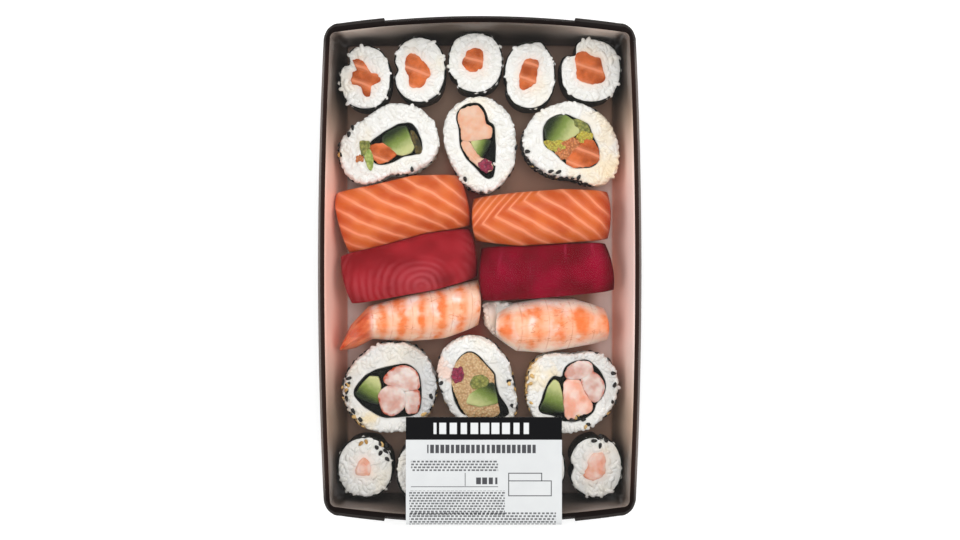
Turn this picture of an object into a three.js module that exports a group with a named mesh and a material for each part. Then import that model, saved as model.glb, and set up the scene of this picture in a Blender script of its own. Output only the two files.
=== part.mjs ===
import * as THREE from "three";
import { mergeVertices } from "three/addons/utils/BufferGeometryUtils.js";

// A family-size takeaway sushi tray: a folded board tray with a flared rim, 22 pieces of sushi that stand on
// its floor, a clear lidding film over the rim and a paper label that runs over the film and down the front.
// Millimetres, +Z up, origin at the centre of the tray's base, +Y along the tray towards the salmon rolls.

// ---- Driving dimensions ---------------------------------------------------------------------------------

const TRAY = {
  height: 40,
  board: 0.7,
  floorHalf: [64.7, 109.8],
  rimHalf: [70.2, 111.4],
  bow: [2.6, 4.6],
  belly: 0.06,
  floorCorner: 2,
  rimCorner: 3,
};
const FLANGE = {
  width: 3.4,
  ridge: 1.6,
  slope: 1.3,
  edge: 0.8,
  corner: 7.5,
  tabFrom: 44.6,
  tabStep: 1.2,
  stepRun: 0.4,
};
const FILM = { rise: 0.2, thickness: 0.3, inset: 0.9, corner: 6.8 };
const LABEL = {
  left: -34.7,
  right: 38.6,
  back: -69.3,
  rise: 0.2,
  thickness: 0.3,
  clearance: 0.5,
  drop: 2.5,
  flap: 20,
  bend: 1,
};

const FOOD = { clearance: 0.4, foot: 1.0, gap: 0.4 };
const NORI = 0.4;
const GRAIN = { length: 6.2, bump: 0.45 };
const HOSOMAKI_TOP = 26;
const URAMAKI_TOP = 27;
const SQUARENESS = 2.3;

const AROUND = { hosomaki: 18, uramaki: 28 };
const QUARTER = { sideSteps: 6, cornerSteps: 4, endSteps: 3 };

// Thin rolls: the centre and size of the cut face, then the filling's offset and its eight radii, 45 degrees
// apart, counted from +X towards +Y.
const HOSOMAKI = [
  {
    name: "salmon_roll_1", at: [-54.8, 91.8], size: [24.8, 31],
    filling: { at: [0.8, -0.6], radii: [7, 5.5, 8, 9, 7, 6, 7.5, 10] },
  },
  {
    name: "salmon_roll_2", at: [-28.9, 95.6], size: [25, 32.2],
    filling: { at: [-1.1, -1], radii: [7, 6, 7.5, 8, 5.5, 6.5, 7.5, 7.5] },
  },
  {
    name: "salmon_roll_3", at: [-2.1, 99.2], size: [26.3, 29.6],
    filling: { at: [-1.3, -0.8], radii: [4.5, 6, 5.5, 4.5, 5, 5.5, 5.5, 5.5] },
  },
  {
    name: "salmon_roll_4", at: [23.9, 92.7], size: [24.8, 32.2],
    filling: { at: [0, 0.9], radii: [3.5, 6, 7.5, 4.5, 3.5, 6, 7.5, 4.5] },
  },
  {
    name: "salmon_roll_5", at: [53.2, 95.2], size: [29.4, 30.8],
    filling: { at: [-0.5, 0.4], radii: [6.5, 7.5, 7.5, 8.5, 6.5, 7.5, 7.5, 9.5] },
  },
  {
    name: "crab_roll_1", at: [-54.9, -94.6], size: [26.8, 29],
    filling: { at: [-1, 0.3], radii: [5, 4.5, 5, 6, 4.5, 5.5, 5, 5] },
  },
  {
    name: "crab_roll_2", at: [-26.6, -96.2], size: [26.6, 29.6],
    filling: { at: [0.4, 0.2], radii: [5, 5.5, 4.5, 5.5, 5, 5, 5.5, 4.5] },
  },
  {
    name: "crab_roll_3", at: [0.6, -96.8], size: [26.2, 29.8],
    filling: { at: [-0.6, -0.5], radii: [4.5, 5, 5.5, 5, 5.5, 4.5, 5, 5.5] },
  },
  {
    name: "crab_roll_4", at: [27.7, -95], size: [26.6, 29.4],
    filling: { at: [0.3, -0.6], radii: [5.5, 5, 5, 6, 4.5, 5, 5.5, 5] },
  },
  {
    name: "crab_roll_5", at: [55.5, -94.5], size: [25.8, 29.4],
    filling: { at: [-1.3, 0.6], radii: [5, 6, 6.5, 6.5, 5, 6, 7, 6.5] },
  },
];

// Inside-out rolls: as above, with the rice's own eight radii in place of a width and a height.
const URAMAKI = [
  {
    name: "cucumber_salmon_roll_1", at: [-43.2, 59.1], radii: [24.4, 24.4, 20.8, 18.4, 25.2, 25.0, 14.8, 18],
    filling: { at: [0.6, -1], radii: [15, 14, 7, 6.5, 14.5, 13, 7, 8] },
  },
  {
    name: "crab_salad_roll", at: [0.1, 60], radii: [17.8, 20.6, 24, 21.9, 17.9, 17.8, 24.2, 20.9],
    filling: { at: [-1.6, 2.3], radii: [8.9, 8.4, 15.4, 15, 8.5, 8.8, 16, 14.5] },
  },
  {
    name: "cucumber_salmon_roll_2", at: [44.6, 60.6], radii: [22.2, 20, 20.4, 22.4, 25.4, 20.8, 17.8, 26.5],
    filling: { at: [-0.8, 0.3], radii: [12.3, 9.6, 11.4, 13.8, 13.2, 8.8, 11.3, 16.4] },
  },
  {
    name: "shrimp_roll_1", at: [-42.9, -56.4], radii: [22.6, 23.2, 22.2, 21.6, 23.6, 23.6, 22.6, 23],
    filling: { at: [0.9, -2], radii: [15, 15.5, 12, 13.7, 17.6, 15.6, 13, 17] },
  },
  {
    name: "tuna_salad_roll", at: [-0.8, -55.4], radii: [17.8, 19.4, 24.2, 24.6, 18.8, 19, 22.4, 24],
    filling: { at: [-0.4, 0.5], radii: [9.8, 9.6, 14.3, 14.8, 11, 12, 15.6, 15.8] },
  },
  {
    name: "shrimp_roll_2", at: [43.7, -59.3], radii: [23.4, 25, 19.6, 23.8, 22.2, 22, 19.6, 19.8],
    filling: { at: [1.1, 0.2], radii: [16.4, 15.6, 14.4, 10.8, 14.8, 16.6, 14.4, 14.2] },
  },
];

// Nigiri: ribs across the topping from its left end to its right, each from the edge towards -Y to the edge
// towards +Y. top is the crown's height, sag how far the long edges hang, seat how far the rice stays below
// the topping, and rice where it starts and ends along the topping, from 0 to 1.
const NIGIRI = [
  {
    name: "salmon_nigiri_1", topping: "salmon", top: 33, thickness: 6.5, sag: 8, seat: 1.1,
    rice: [0.08, 0.93],
    ribs: [
      [-62.8, 7.8, -70.2, 36.4],
      [-44.5, 12.6, -51.5, 40],
      [-26, 17.8, -32, 44.6],
      [-4.8, 21, -11.8, 45.4],
    ],
  },
  {
    name: "salmon_nigiri_2", topping: "salmon", top: 33, thickness: 6.5, sag: 8, seat: 1.1,
    rice: [0.07, 0.94],
    ribs: [
      [-2.2, 13.8, -3, 34.2],
      [19, 11.6, 18.6, 36.6],
      [40, 13, 40, 38.2],
      [61.6, 14.6, 61.4, 37.6],
    ],
  },
  {
    name: "tuna_nigiri_1", topping: "tuna", top: 32, thickness: 7.5, sag: 7, seat: 1.1,
    rice: [0.09, 0.93],
    ribs: [
      [-61.6, -16.2, -66.8, 6.2],
      [-41, -12.4, -46, 11],
      [-21, -8.8, -26, 16.4],
      [-1.4, -3.2, -6.4, 19.6],
    ],
  },
  {
    name: "tuna_nigiri_2", topping: "tuna", top: 32, thickness: 7.5, sag: 7, seat: 1.1,
    rice: [0.07, 0.93],
    ribs: [
      [0.9, -14.6, 0.8, 10.2],
      [22, -13.4, 21, 10.4],
      [43, -11.8, 41, 11.6],
      [64.6, -9.6, 60.4, 12.4],
    ],
  },
  {
    name: "shrimp_nigiri_1", topping: "shrimp", top: 30, thickness: 5, sag: 10, seat: 2.6,
    rice: [0.3, 1],
    ribs: [
      [-66.6, -39.4, -66.8, -36.2],
      [-59.8, -37.6, -62, -26.8],
      [-51.5, -33.2, -53.6, -18],
      [-34, -34.2, -36, -13.2],
      [-17, -32.8, -17.5, -9.4],
      [-0.8, -27.2, -1, -4.8],
    ],
  },
  {
    name: "shrimp_nigiri_2", topping: "shrimp", top: 30, thickness: 5, sag: 10, seat: 2.6,
    rice: [-0.18, 0.9],
    ribs: [
      [8, -32.8, 8.6, -20.4],
      [17.5, -38.8, 17, -16.4],
      [30.5, -39.6, 30, -14.2],
      [46, -37, 45.5, -14.6],
      [61.6, -34.4, 60.2, -18.6],
    ],
  },
];
const DRAPE = { stations: 9, across: 6, endSag: 5, edgeThinning: 0.45, cornerRound: 0.06, riceShare: 0.86 };

// ---- Finishes -------------------------------------------------------------------------------------------

const finish = (color, roughness, extra = {}) => (
  new THREE.MeshStandardMaterial({ color, roughness, metalness: 0, ...extra })
);
const FINISH = {
  board: finish(0x2b2420, 0.45),
  film: finish(0xf4f8fa, 0.08, { transparent: true, opacity: 0.2 }),
  label: finish(0xe3e5e5, 0.5),
  rice: finish(0xe2e0d8, 0.45),
  nori: finish(0x14171a, 0.5),
  salmon: finish(0xe07040, 0.35),
  tuna: finish(0x932439, 0.35),
  shrimp: finish(0xffa86c, 0.4),
  crab: finish(0xf0b8a0, 0.5),
  filling: finish(0xa9b46a, 0.45),
};

// ---- Solids from rings ----------------------------------------------------------------------------------

const distance = (points, a, b) => Math.hypot(...points[a].map((value, axis) => value - points[b][axis]));

/**
 * Joins rings of equally many points into one closed solid, round on themselves or shut by a cap at each end.
 * Each four-sided patch is split along its shorter diagonal, so that walls that face each other split alike.
 */
function solidFromRings(rings, { loop = false, addCap = addFanCap } = {}) {
  const count = rings[0].length;
  const points = rings.flat();
  const faces = [];
  const last = loop ? rings.length : rings.length - 1;
  for (let r = 0; r < last; r += 1) {
    const low = r * count;
    const high = ((r + 1) % rings.length) * count;
    for (let i = 0; i < count; i += 1) {
      const next = (i + 1) % count;
      const [a, b, c, d] = [low + i, low + next, high + next, high + i];
      if (distance(points, a, c) <= distance(points, b, d)) {
        faces.push(a, b, c, a, c, d);
      } else {
        faces.push(a, b, d, b, c, d);
      }
    }
  }
  if (!loop) {
    addCap(points, faces, rings[0], 0, true);
    addCap(points, faces, rings.at(-1), (rings.length - 1) * count, false);
  }
  const geometry = new THREE.BufferGeometry();
  geometry.setAttribute("position", new THREE.Float32BufferAttribute(points.flat(), 3));
  geometry.setIndex(faces);
  return mergeVertices(geometry, 1e-4);
}

/** Fills one ring with a fan about its middle. */
function addFanCap(points, faces, ring, start, flipped) {
  const middle = [0, 1, 2].map((axis) => ring.reduce((sum, point) => sum + point[axis], 0) / ring.length);
  const hub = points.push(middle) - 1;
  for (let i = 0; i < ring.length; i += 1) {
    const next = (i + 1) % ring.length;
    faces.push(hub, start + (flipped ? next : i), start + (flipped ? i : next));
  }
}

/** Fills a crescent, whose ring runs out along one face and back along the other, with rungs between them. */
function addRungCap(points, faces, ring, start, flipped) {
  const last = ring.length - 1;
  for (let i = 0; i < ring.length / 2 - 1; i += 1) {
    const [a, b, c, d] = [i, i + 1, last - i - 1, last - i].map((index) => start + index);
    faces.push(...(flipped ? [a, c, b, a, d, c] : [a, b, c, a, c, d]));
  }
}

function sub(name, geometry, material) {
  const mesh = new THREE.Mesh(geometry, material);
  mesh.name = name;
  return mesh;
}

// ---- The tray's own outline -----------------------------------------------------------------------------

/** How far the wall has flared at a height, from 0 at the base to 1 at the rim, with a slight belly. */
const flare = (z) => {
  const share = z / TRAY.height;
  return share + TRAY.belly * 4 * share * (1 - share);
};

/** Half sizes, corner and bows of the wall's inner face at a height. */
function wallAt(z) {
  const share = flare(z);
  return {
    half: TRAY.floorHalf.map((low, axis) => low + (TRAY.rimHalf[axis] - low) * share),
    bow: TRAY.bow.map((bow) => bow * share),
    corner: TRAY.floorCorner + (TRAY.rimCorner - TRAY.floorCorner) * share,
    tab: 0,
  };
}

/** The same outline grown by a distance, with an optional corner radius and tab step. */
const grown = (outline, by, changes = {}) => (
  { ...outline, half: outline.half.map((h) => h + by), ...changes }
);

/** One quarter of an outline, from the middle of the long side round to the middle of the short end. */
function quarterOutline({ half, bow, corner, tab }) {
  const [straightX, straightY] = half.map((h) => h - corner);
  const points = [];
  for (let i = 0; i <= QUARTER.sideSteps; i += 1) {
    const share = i / QUARTER.sideSteps;
    points.push([half[0] + bow[0] * (1 - share ** 2), straightY * share]);
  }
  for (let i = 1; i <= QUARTER.cornerSteps; i += 1) {
    const angle = (Math.PI / 2) * (i / QUARTER.cornerSteps);
    points.push([straightX + corner * Math.cos(angle), straightY + (corner + tab) * Math.sin(angle)]);
  }
  const endY = (x, extra) => half[1] + bow[1] * (1 - (x / straightX) ** 2) + extra;
  const tabEnd = FLANGE.tabFrom;
  const tabMiddle = (straightX + tabEnd) / 2;
  points.push([tabMiddle, endY(tabMiddle, tab)]);
  points.push([tabEnd + FLANGE.stepRun, endY(tabEnd, tab)], [tabEnd, endY(tabEnd, 0)]);
  for (let i = 1; i <= QUARTER.endSteps; i += 1) {
    const x = tabEnd * (1 - i / QUARTER.endSteps);
    points.push([x, endY(x, 0)]);
  }
  return points;
}

/** The whole outline at a height, anticlockwise, from one quarter mirrored three times. */
function outlineRing(outline, z) {
  const quarter = quarterOutline(outline);
  const back = [...quarter].reverse();
  const ring = [
    ...quarter.slice(0, -1),
    ...back.slice(0, -1).map(([x, y]) => [-x, y]),
    ...quarter.slice(0, -1).map(([x, y]) => [-x, -y]),
    ...back.slice(0, -1).map(([x, y]) => [x, -y]),
  ];
  return ring.map(([x, y]) => [x, y, z]);
}

/** Pulls a point in until it clears the sloping walls by the food's clearance and a further inset. */
function keptInside([x, y, z], inset) {
  const { half, bow } = wallAt(z);
  const reach = (axis, along) => (
    half[axis] + bow[axis] * Math.max(0, 1 - (along / half[1 - axis]) ** 2) - FOOD.clearance - inset
  );
  const limitX = reach(0, y);
  const limitY = reach(1, x);
  return [THREE.MathUtils.clamp(x, -limitX, limitX), THREE.MathUtils.clamp(y, -limitY, limitY), z];
}

// ---- Tray, film and label -------------------------------------------------------------------------------

function buildTray() {
  const { height, board } = TRAY;
  const middle = height / 2;
  const rim = wallAt(height);
  const under = height - FLANGE.slope - FLANGE.edge;
  const flap = { tab: board };
  const lip = { corner: FLANGE.corner, tab: FLANGE.tabStep };
  const rings = [
    outlineRing(grown(wallAt(0), board, flap), 0),
    outlineRing(grown(wallAt(middle), board, flap), middle),
    outlineRing(grown(wallAt(under), board, flap), under + FLANGE.edge / 2),
    outlineRing(grown(rim, FLANGE.width, lip), under),
    outlineRing(grown(rim, FLANGE.width, lip), under + FLANGE.edge),
    outlineRing(grown(rim, FLANGE.ridge, { corner: TRAY.rimCorner + FLANGE.ridge }), height),
    outlineRing(rim, height),
    outlineRing(wallAt(middle), middle),
    outlineRing(wallAt(board), board),
  ];
  return sub("tray", solidFromRings(rings), FINISH.board);
}

function buildFilm() {
  const outline = grown(wallAt(TRAY.height), FLANGE.width - FILM.inset, { corner: FILM.corner });
  const low = TRAY.height + FILM.rise;
  const rings = [outlineRing(outline, low), outlineRing(outline, low + FILM.thickness)];
  return sub("lidding_film", solidFromRings(rings), FINISH.film);
}

/** A strip of paper that lies on the film, bends over the front rim and slants in until it meets the wall. */
function buildLabel() {
  const { thickness, bend } = LABEL;
  const top = TRAY.height + FILM.rise + FILM.thickness + LABEL.rise + thickness;
  const rim = wallAt(TRAY.height);
  const edge = -(rim.half[1] + rim.bow[1] + FLANGE.width + LABEL.clearance + thickness);
  const foot = wallAt(TRAY.height - LABEL.flap);
  const footY = -(foot.half[1] + foot.bow[1] + TRAY.board + LABEL.clearance + thickness);
  const footZ = TRAY.height - LABEL.flap;
  const kneeZ = TRAY.height - LABEL.drop;
  // The section in (y, z), outer face first and then back along the inner face.
  const section = new THREE.Shape([
    [LABEL.back, top], [edge + bend, top], [edge, top - bend], [edge, kneeZ], [footY, footZ],
    [footY + thickness, footZ], [edge + thickness, kneeZ], [edge + thickness, top - bend - thickness / 2],
    [edge + bend + thickness / 2, top - thickness], [LABEL.back, top - thickness],
  ].map(([y, z]) => new THREE.Vector2(y, z)));
  const depth = LABEL.right - LABEL.left;
  const geometry = new THREE.ExtrudeGeometry(section, { depth, bevelEnabled: false });
  // The section's own axes become Y and Z, and its depth runs along X.
  geometry.applyMatrix4(new THREE.Matrix4().makeBasis(
    new THREE.Vector3(0, 1, 0), new THREE.Vector3(0, 0, 1), new THREE.Vector3(1, 0, 0),
  ));
  geometry.translate(LABEL.left, 0, 0);
  return sub("label", geometry, FINISH.label);
}

// ---- Rolls ----------------------------------------------------------------------------------------------

/** Unevenness of packed rice, from -1 to 1 over about one grain's length. */
function riceBump(x, y, z) {
  const k = (2 * Math.PI) / GRAIN.length;
  const waves = Math.sin(k * x + 1.7 * Math.sin(k * 0.6 * y))
    + Math.sin(k * 0.9 * y + 1.3 * Math.sin(k * 0.7 * z))
    + Math.sin(k * 1.1 * z + 1.9 * Math.sin(k * 0.5 * x));
  return waves / 3;
}

/** Radius at an angle, smoothly between radii that are given at equal angles round the circle. */
function radiusBetween(radii, angle) {
  const place = ((angle / (2 * Math.PI)) * radii.length + radii.length) % radii.length;
  const from = Math.floor(place);
  const t = place - from;
  const at = (step) => radii[(from + step + radii.length) % radii.length];
  const [a, b, c, d] = [at(-1), at(0), at(1), at(2)];
  return b + 0.5 * t * (c - a + t * (2 * a - 5 * b + 4 * c - d + t * (3 * (b - c) + d - a)));
}

/** Radius of a rounded oblong of a width and a height. */
function oblongRadius([width, height], angle) {
  const across = Math.abs(Math.cos(angle) / (width / 2)) ** SQUARENESS;
  const along = Math.abs(Math.sin(angle) / (height / 2)) ** SQUARENESS;
  return (across + along) ** (-1 / SQUARENESS);
}

/** A ring about a centre whose radius is a function of the angle. */
function polarRing(count, [cx, cy], radiusAt, z, inset = 0) {
  const ring = [];
  for (let i = 0; i < count; i += 1) {
    const angle = (2 * Math.PI * i) / count;
    const radius = radiusAt(angle);
    ring.push(keptInside([cx + radius * Math.cos(angle), cy + radius * Math.sin(angle), z], inset));
  }
  return ring;
}

/** A ring part of the way from one ring to another, at a height, lifted by rice bumps. */
const ringBetween = (outer, inner, share, z, bump) => outer.map(([x, y], i) => {
  const [px, py] = [x + (inner[i][0] - x) * share, y + (inner[i][1] - y) * share];
  return [px, py, z + bump * riceBump(px, py, z)];
});

/** A sheet of nori wrapped round a roll, open at both ends. */
function noriWrap(name, count, centre, outerAt, top) {
  const low = FOOD.foot;
  const innerAt = (angle) => outerAt(angle) - NORI;
  const rings = [
    polarRing(count, centre, outerAt, low),
    polarRing(count, centre, outerAt, top),
    polarRing(count, centre, innerAt, top, NORI),
    polarRing(count, centre, innerAt, low, NORI),
  ];
  return sub(name, solidFromRings(rings, { loop: true }), FINISH.nori);
}

/** Rice packed between an outer face and the filling, with grain-size bumps where it shows. */
function riceRing(name, count, centre, outerAt, coreRing, top, { inset, wallLevels, wallBump }) {
  const low = FOOD.foot;
  const shoulder = 1.2;
  const wall = Array.from({ length: wallLevels + 1 }, (_, level) => {
    const z = low + ((top - shoulder - low) * level) / wallLevels;
    const bulge = (angle) => {
      const radius = outerAt(angle);
      const [x, y] = [centre[0] + radius * Math.cos(angle), centre[1] + radius * Math.sin(angle)];
      return radius - wallBump * (0.5 + 0.5 * riceBump(x, y, z));
    };
    return polarRing(count, centre, bulge, z, inset);
  });
  const edge = polarRing(count, centre, outerAt, top, inset);
  const rings = [
    ...wall,
    ringBetween(edge, coreRing(top), 0.12, top, GRAIN.bump),
    ringBetween(edge, coreRing(top), 0.42, top, GRAIN.bump),
    ringBetween(edge, coreRing(top), 0.72, top, GRAIN.bump),
    coreRing(top - 0.4),
    coreRing(low),
  ];
  return sub(name, solidFromRings(rings, { loop: true }), FINISH.rice);
}

/** The filling that runs through a roll, a little proud of the rice in the middle of its cut face. */
function fillingCore(name, coreRing, gap, top, material) {
  const low = coreRing(FOOD.foot);
  const [cx, cy] = [0, 1].map((axis) => low.reduce((sum, point) => sum + point[axis], 0) / low.length);
  const shrunk = (ring, by, z) => ring.map(([x, y]) => {
    const reach = Math.hypot(x - cx, y - cy);
    const share = Math.max(0, reach - by) / reach;
    return [cx + (x - cx) * share, cy + (y - cy) * share, z];
  });
  const rings = [
    shrunk(low, gap, FOOD.foot),
    shrunk(low, gap, top - 0.3),
    shrunk(low, gap + 1, top + 0.3),
  ];
  return sub(name, solidFromRings(rings), material);
}

/** The hole that a filling leaves in the rice, as a function that gives its ring at a height. */
const coreRingOf = (count, [x, y], { at, radii }) => (z) => (
  polarRing(count, [x + at[0], y + at[1]], (angle) => radiusBetween(radii, angle), z)
);

function buildHosomaki({ name, at, size, filling }) {
  const count = AROUND.hosomaki;
  const noriAt = (angle) => oblongRadius(size, angle);
  const riceAt = (angle) => noriAt(angle) - NORI - FOOD.gap;
  const core = coreRingOf(count, at, filling);
  const riceShape = { inset: NORI + FOOD.gap, wallLevels: 1, wallBump: 0 };
  const material = name.startsWith("salmon") ? FINISH.salmon : FINISH.crab;
  return [
    noriWrap(`${name}_nori`, count, at, noriAt, HOSOMAKI_TOP - 0.6),
    riceRing(`${name}_rice`, count, at, riceAt, core, HOSOMAKI_TOP, riceShape),
    fillingCore(`${name}_filling`, core, FOOD.gap, HOSOMAKI_TOP, material),
  ];
}

function buildUramaki({ name, at, radii, filling }) {
  const count = AROUND.uramaki;
  const core = coreRingOf(count, at, filling);
  const riceShape = { inset: 0, wallLevels: 4, wallBump: 2 * GRAIN.bump };
  return [
    riceRing(`${name}_rice`, count, at, (angle) => radiusBetween(radii, angle), core, URAMAKI_TOP, riceShape),
    fillingCore(`${name}_filling`, core, FOOD.gap, URAMAKI_TOP, FINISH.filling),
  ];
}

// ---- Nigiri ---------------------------------------------------------------------------------------------

/** The rib of a topping at a share of its length, between the ribs given; past an end it runs on straight. */
function ribAt(ribs, share) {
  const place = THREE.MathUtils.clamp(share, 0, 1) * (ribs.length - 1);
  const from = Math.min(Math.floor(place), ribs.length - 2);
  const t = place - from + (share - THREE.MathUtils.clamp(share, 0, 1)) * (ribs.length - 1);
  return ribs[from].map((value, i) => value + (ribs[from + 1][i] - value) * t);
}

/** Height of the draped topping's upper face: level along its crown, hanging at its long edges and ends. */
const drapeHeight = ({ top, sag }, along, across) => (
  top - sag * Math.abs(across) ** 2.6 - DRAPE.endSag * Math.abs(2 * along - 1) ** 6
);

/** A point of a nigiri from its place along and across the topping, both edges drawn in near the ends. */
function drapePoint(item, along, across, z) {
  const [x0, y0, x1, y1] = ribAt(item.ribs, along);
  const end = Math.min(1, Math.abs(2 * along - 1) ** 10);
  const v = 0.5 + 0.5 * across * (1 - DRAPE.cornerRound * end);
  return [x0 + (x1 - x0) * v, y0 + (y1 - y0) * v, z];
}

function buildNigiri(item) {
  const { name, topping, thickness, seat, rice } = item;
  const steps = Array.from({ length: DRAPE.across + 1 }, (_, i) => (2 * i) / DRAPE.across - 1);
  const under = (along, across) => (
    drapeHeight(item, along, across) - thickness * (1 - DRAPE.edgeThinning * across ** 2)
  );
  const back = [...steps].reverse();
  const toppingRings = [];
  const riceRings = [];
  for (let s = 0; s <= DRAPE.stations; s += 1) {
    const along = s / DRAPE.stations;
    toppingRings.push([
      ...steps.map((across) => drapePoint(item, along, across, under(along, across))),
      ...back.map((across) => drapePoint(item, along, across, drapeHeight(item, along, across))),
    ]);
    const riceAlong = rice[0] + (rice[1] - rice[0]) * along;
    const narrow = DRAPE.riceShare * (1 - 0.12 * Math.abs(2 * along - 1) ** 4);
    const roof = (across) => {
      const [x, y] = drapePoint(item, riceAlong, across, 0);
      const clear = under(THREE.MathUtils.clamp(riceAlong, 0, 1), across) - seat;
      return clear - GRAIN.bump * (1 - riceBump(x, y, clear));
    };
    riceRings.push([
      drapePoint(item, riceAlong, -narrow, FOOD.foot),
      drapePoint(item, riceAlong, 0, FOOD.foot),
      drapePoint(item, riceAlong, narrow, FOOD.foot),
      drapePoint(item, riceAlong, narrow * 1.04, 8),
      ...back.map((across) => drapePoint(item, riceAlong, across * narrow, roof(across * narrow))),
      drapePoint(item, riceAlong, -narrow * 1.04, 8),
    ]);
  }
  const kept = (rings) => rings.map((ring) => ring.map((point) => keptInside(point, 0)));
  return [
    sub(`${name}_rice`, solidFromRings(kept(riceRings)), FINISH.rice),
    sub(`${name}_topping`, solidFromRings(kept(toppingRings), { addCap: addRungCap }), FINISH[topping]),
  ];
}

// ---- The whole part -------------------------------------------------------------------------------------

const group = new THREE.Group();
group.name = "takeaway_sushi_tray";
group.add(
  buildTray(),
  ...HOSOMAKI.flatMap(buildHosomaki),
  ...URAMAKI.flatMap(buildUramaki),
  ...NIGIRI.flatMap(buildNigiri),
  buildFilm(),
  buildLabel(),
);

export default group;
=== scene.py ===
"""Looks of a takeaway sushi tray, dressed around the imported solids.

Shapes are worked out in millimetres in the row's frame, +Z up and +Y along the tray towards the salmon rolls,
and become metres when a mesh is made. Rolls take their outer faces from the solids that they replace.
"""

from __future__ import annotations

import logging
import math
from collections.abc import Iterable, Sequence
from dataclasses import dataclass, field
from enum import Enum
from functools import partialmethod

import bpy
from bpy.types import Material, Node, NodeSocket, NodeTree, Object
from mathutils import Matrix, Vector, noise
from mathutils.bvhtree import BVHTree

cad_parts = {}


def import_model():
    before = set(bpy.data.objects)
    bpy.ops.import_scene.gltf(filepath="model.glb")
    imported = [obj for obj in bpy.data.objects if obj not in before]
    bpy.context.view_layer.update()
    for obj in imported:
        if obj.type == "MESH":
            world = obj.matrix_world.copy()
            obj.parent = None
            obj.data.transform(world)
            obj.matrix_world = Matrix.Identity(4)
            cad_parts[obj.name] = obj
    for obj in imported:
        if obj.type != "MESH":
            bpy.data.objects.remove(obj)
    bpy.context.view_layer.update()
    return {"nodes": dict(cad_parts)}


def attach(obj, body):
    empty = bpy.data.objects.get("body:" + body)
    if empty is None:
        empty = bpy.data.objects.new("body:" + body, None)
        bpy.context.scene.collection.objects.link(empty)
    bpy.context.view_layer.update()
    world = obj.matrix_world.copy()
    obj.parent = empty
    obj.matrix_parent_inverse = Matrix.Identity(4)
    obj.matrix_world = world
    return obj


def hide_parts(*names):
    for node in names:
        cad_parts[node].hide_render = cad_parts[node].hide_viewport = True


MM = 0.001
LABEL_SPAN = 100.0  # Millimetres of the label in one unit of its surface coordinates.
BODY = "root"
LOG = logging.getLogger("sushi_tray")

Point = tuple[float, float, float]
Flat = tuple[float, float]
Rib = tuple[float, float, float, float]  # A near and a far edge point of a slice, seen from above.


# ---- Shader expressions ----------------------------------------------


def colour(code: str) -> tuple[float, float, float, float]:
    """Linear colour of a six-digit screen colour.

    Args:
        code: six hexadecimal digits.

    Returns:
        Red, green, blue and an alpha of 1.
    """
    parts = [int(code[i : i + 2], 16) / 255 for i in (0, 2, 4)]
    red, green, blue = (v / 12.92 if v <= 0.04045 else ((v + 0.055) / 1.055) ** 2.4 for v in parts)
    return red, green, blue, 1.0


class Value:
    """A number that changes over a surface; each operator on it adds one Math node.

    size drops the sign, and from_whole is the distance from the nearest whole number.
    """

    def __init__(self, shader: Shader, socket: NodeSocket) -> None:
        """Wraps an output socket of a shader's tree."""
        self.shader = shader
        self.socket = socket

    def _math(self, operation: str, *others: Value | float) -> Value:
        """Adds a Math node with this value first."""
        return self.shader.math(operation, self, *others)

    def __rsub__(self, other: float) -> Value:
        """Difference from a number."""
        return self.shader.math("SUBTRACT", other, self)

    __add__ = __radd__ = partialmethod(_math, "ADD")
    __sub__ = partialmethod(_math, "SUBTRACT")
    __mul__ = __rmul__ = partialmethod(_math, "MULTIPLY")
    __truediv__ = partialmethod(_math, "DIVIDE")
    __pow__ = partialmethod(_math, "POWER")
    size = partialmethod(_math, "ABSOLUTE")
    sine = partialmethod(_math, "SINE")
    from_whole = partialmethod(_math, "PINGPONG", 0.5)

    def rise(self, low: float, high: float) -> Value:
        """Goes smoothly from 0 at one value to 1 at another.

        Args:
            low: the value that gives 0.
            high: the value that gives 1, which may be the smaller one.

        Returns:
            The mask.
        """
        settings = {"interpolation_type": "SMOOTHSTEP"}
        sockets = {"Value": self, "From Min": low, "From Max": high}
        return self.shader.value("ShaderNodeMapRange", settings, sockets, "Result")


class Graph:
    """A node tree to which one method adds every node."""

    def __init__(self, tree: NodeTree) -> None:
        """Takes the tree."""
        self.tree = tree

    def node(self, kind: str, settings: dict | None = None, sockets: dict | None = None) -> Node:
        """Adds a node.

        Args:
            kind: the node's type.
            settings: its properties, set first.
            sockets: values or links of its inputs, by name or place; a list joins several links.

        Returns:
            The node.
        """
        made = self.tree.nodes.new(kind)
        for key, value in (settings or {}).items():
            setattr(made, key, value)
        for key, given in (sockets or {}).items():
            target = made.inputs[key]
            for value in given if isinstance(given, list) else [given]:
                source = value.socket if isinstance(value, Value) else value
                if isinstance(source, NodeSocket):
                    self.tree.links.new(source, target)
                else:
                    target.default_value = source
        return made


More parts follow.
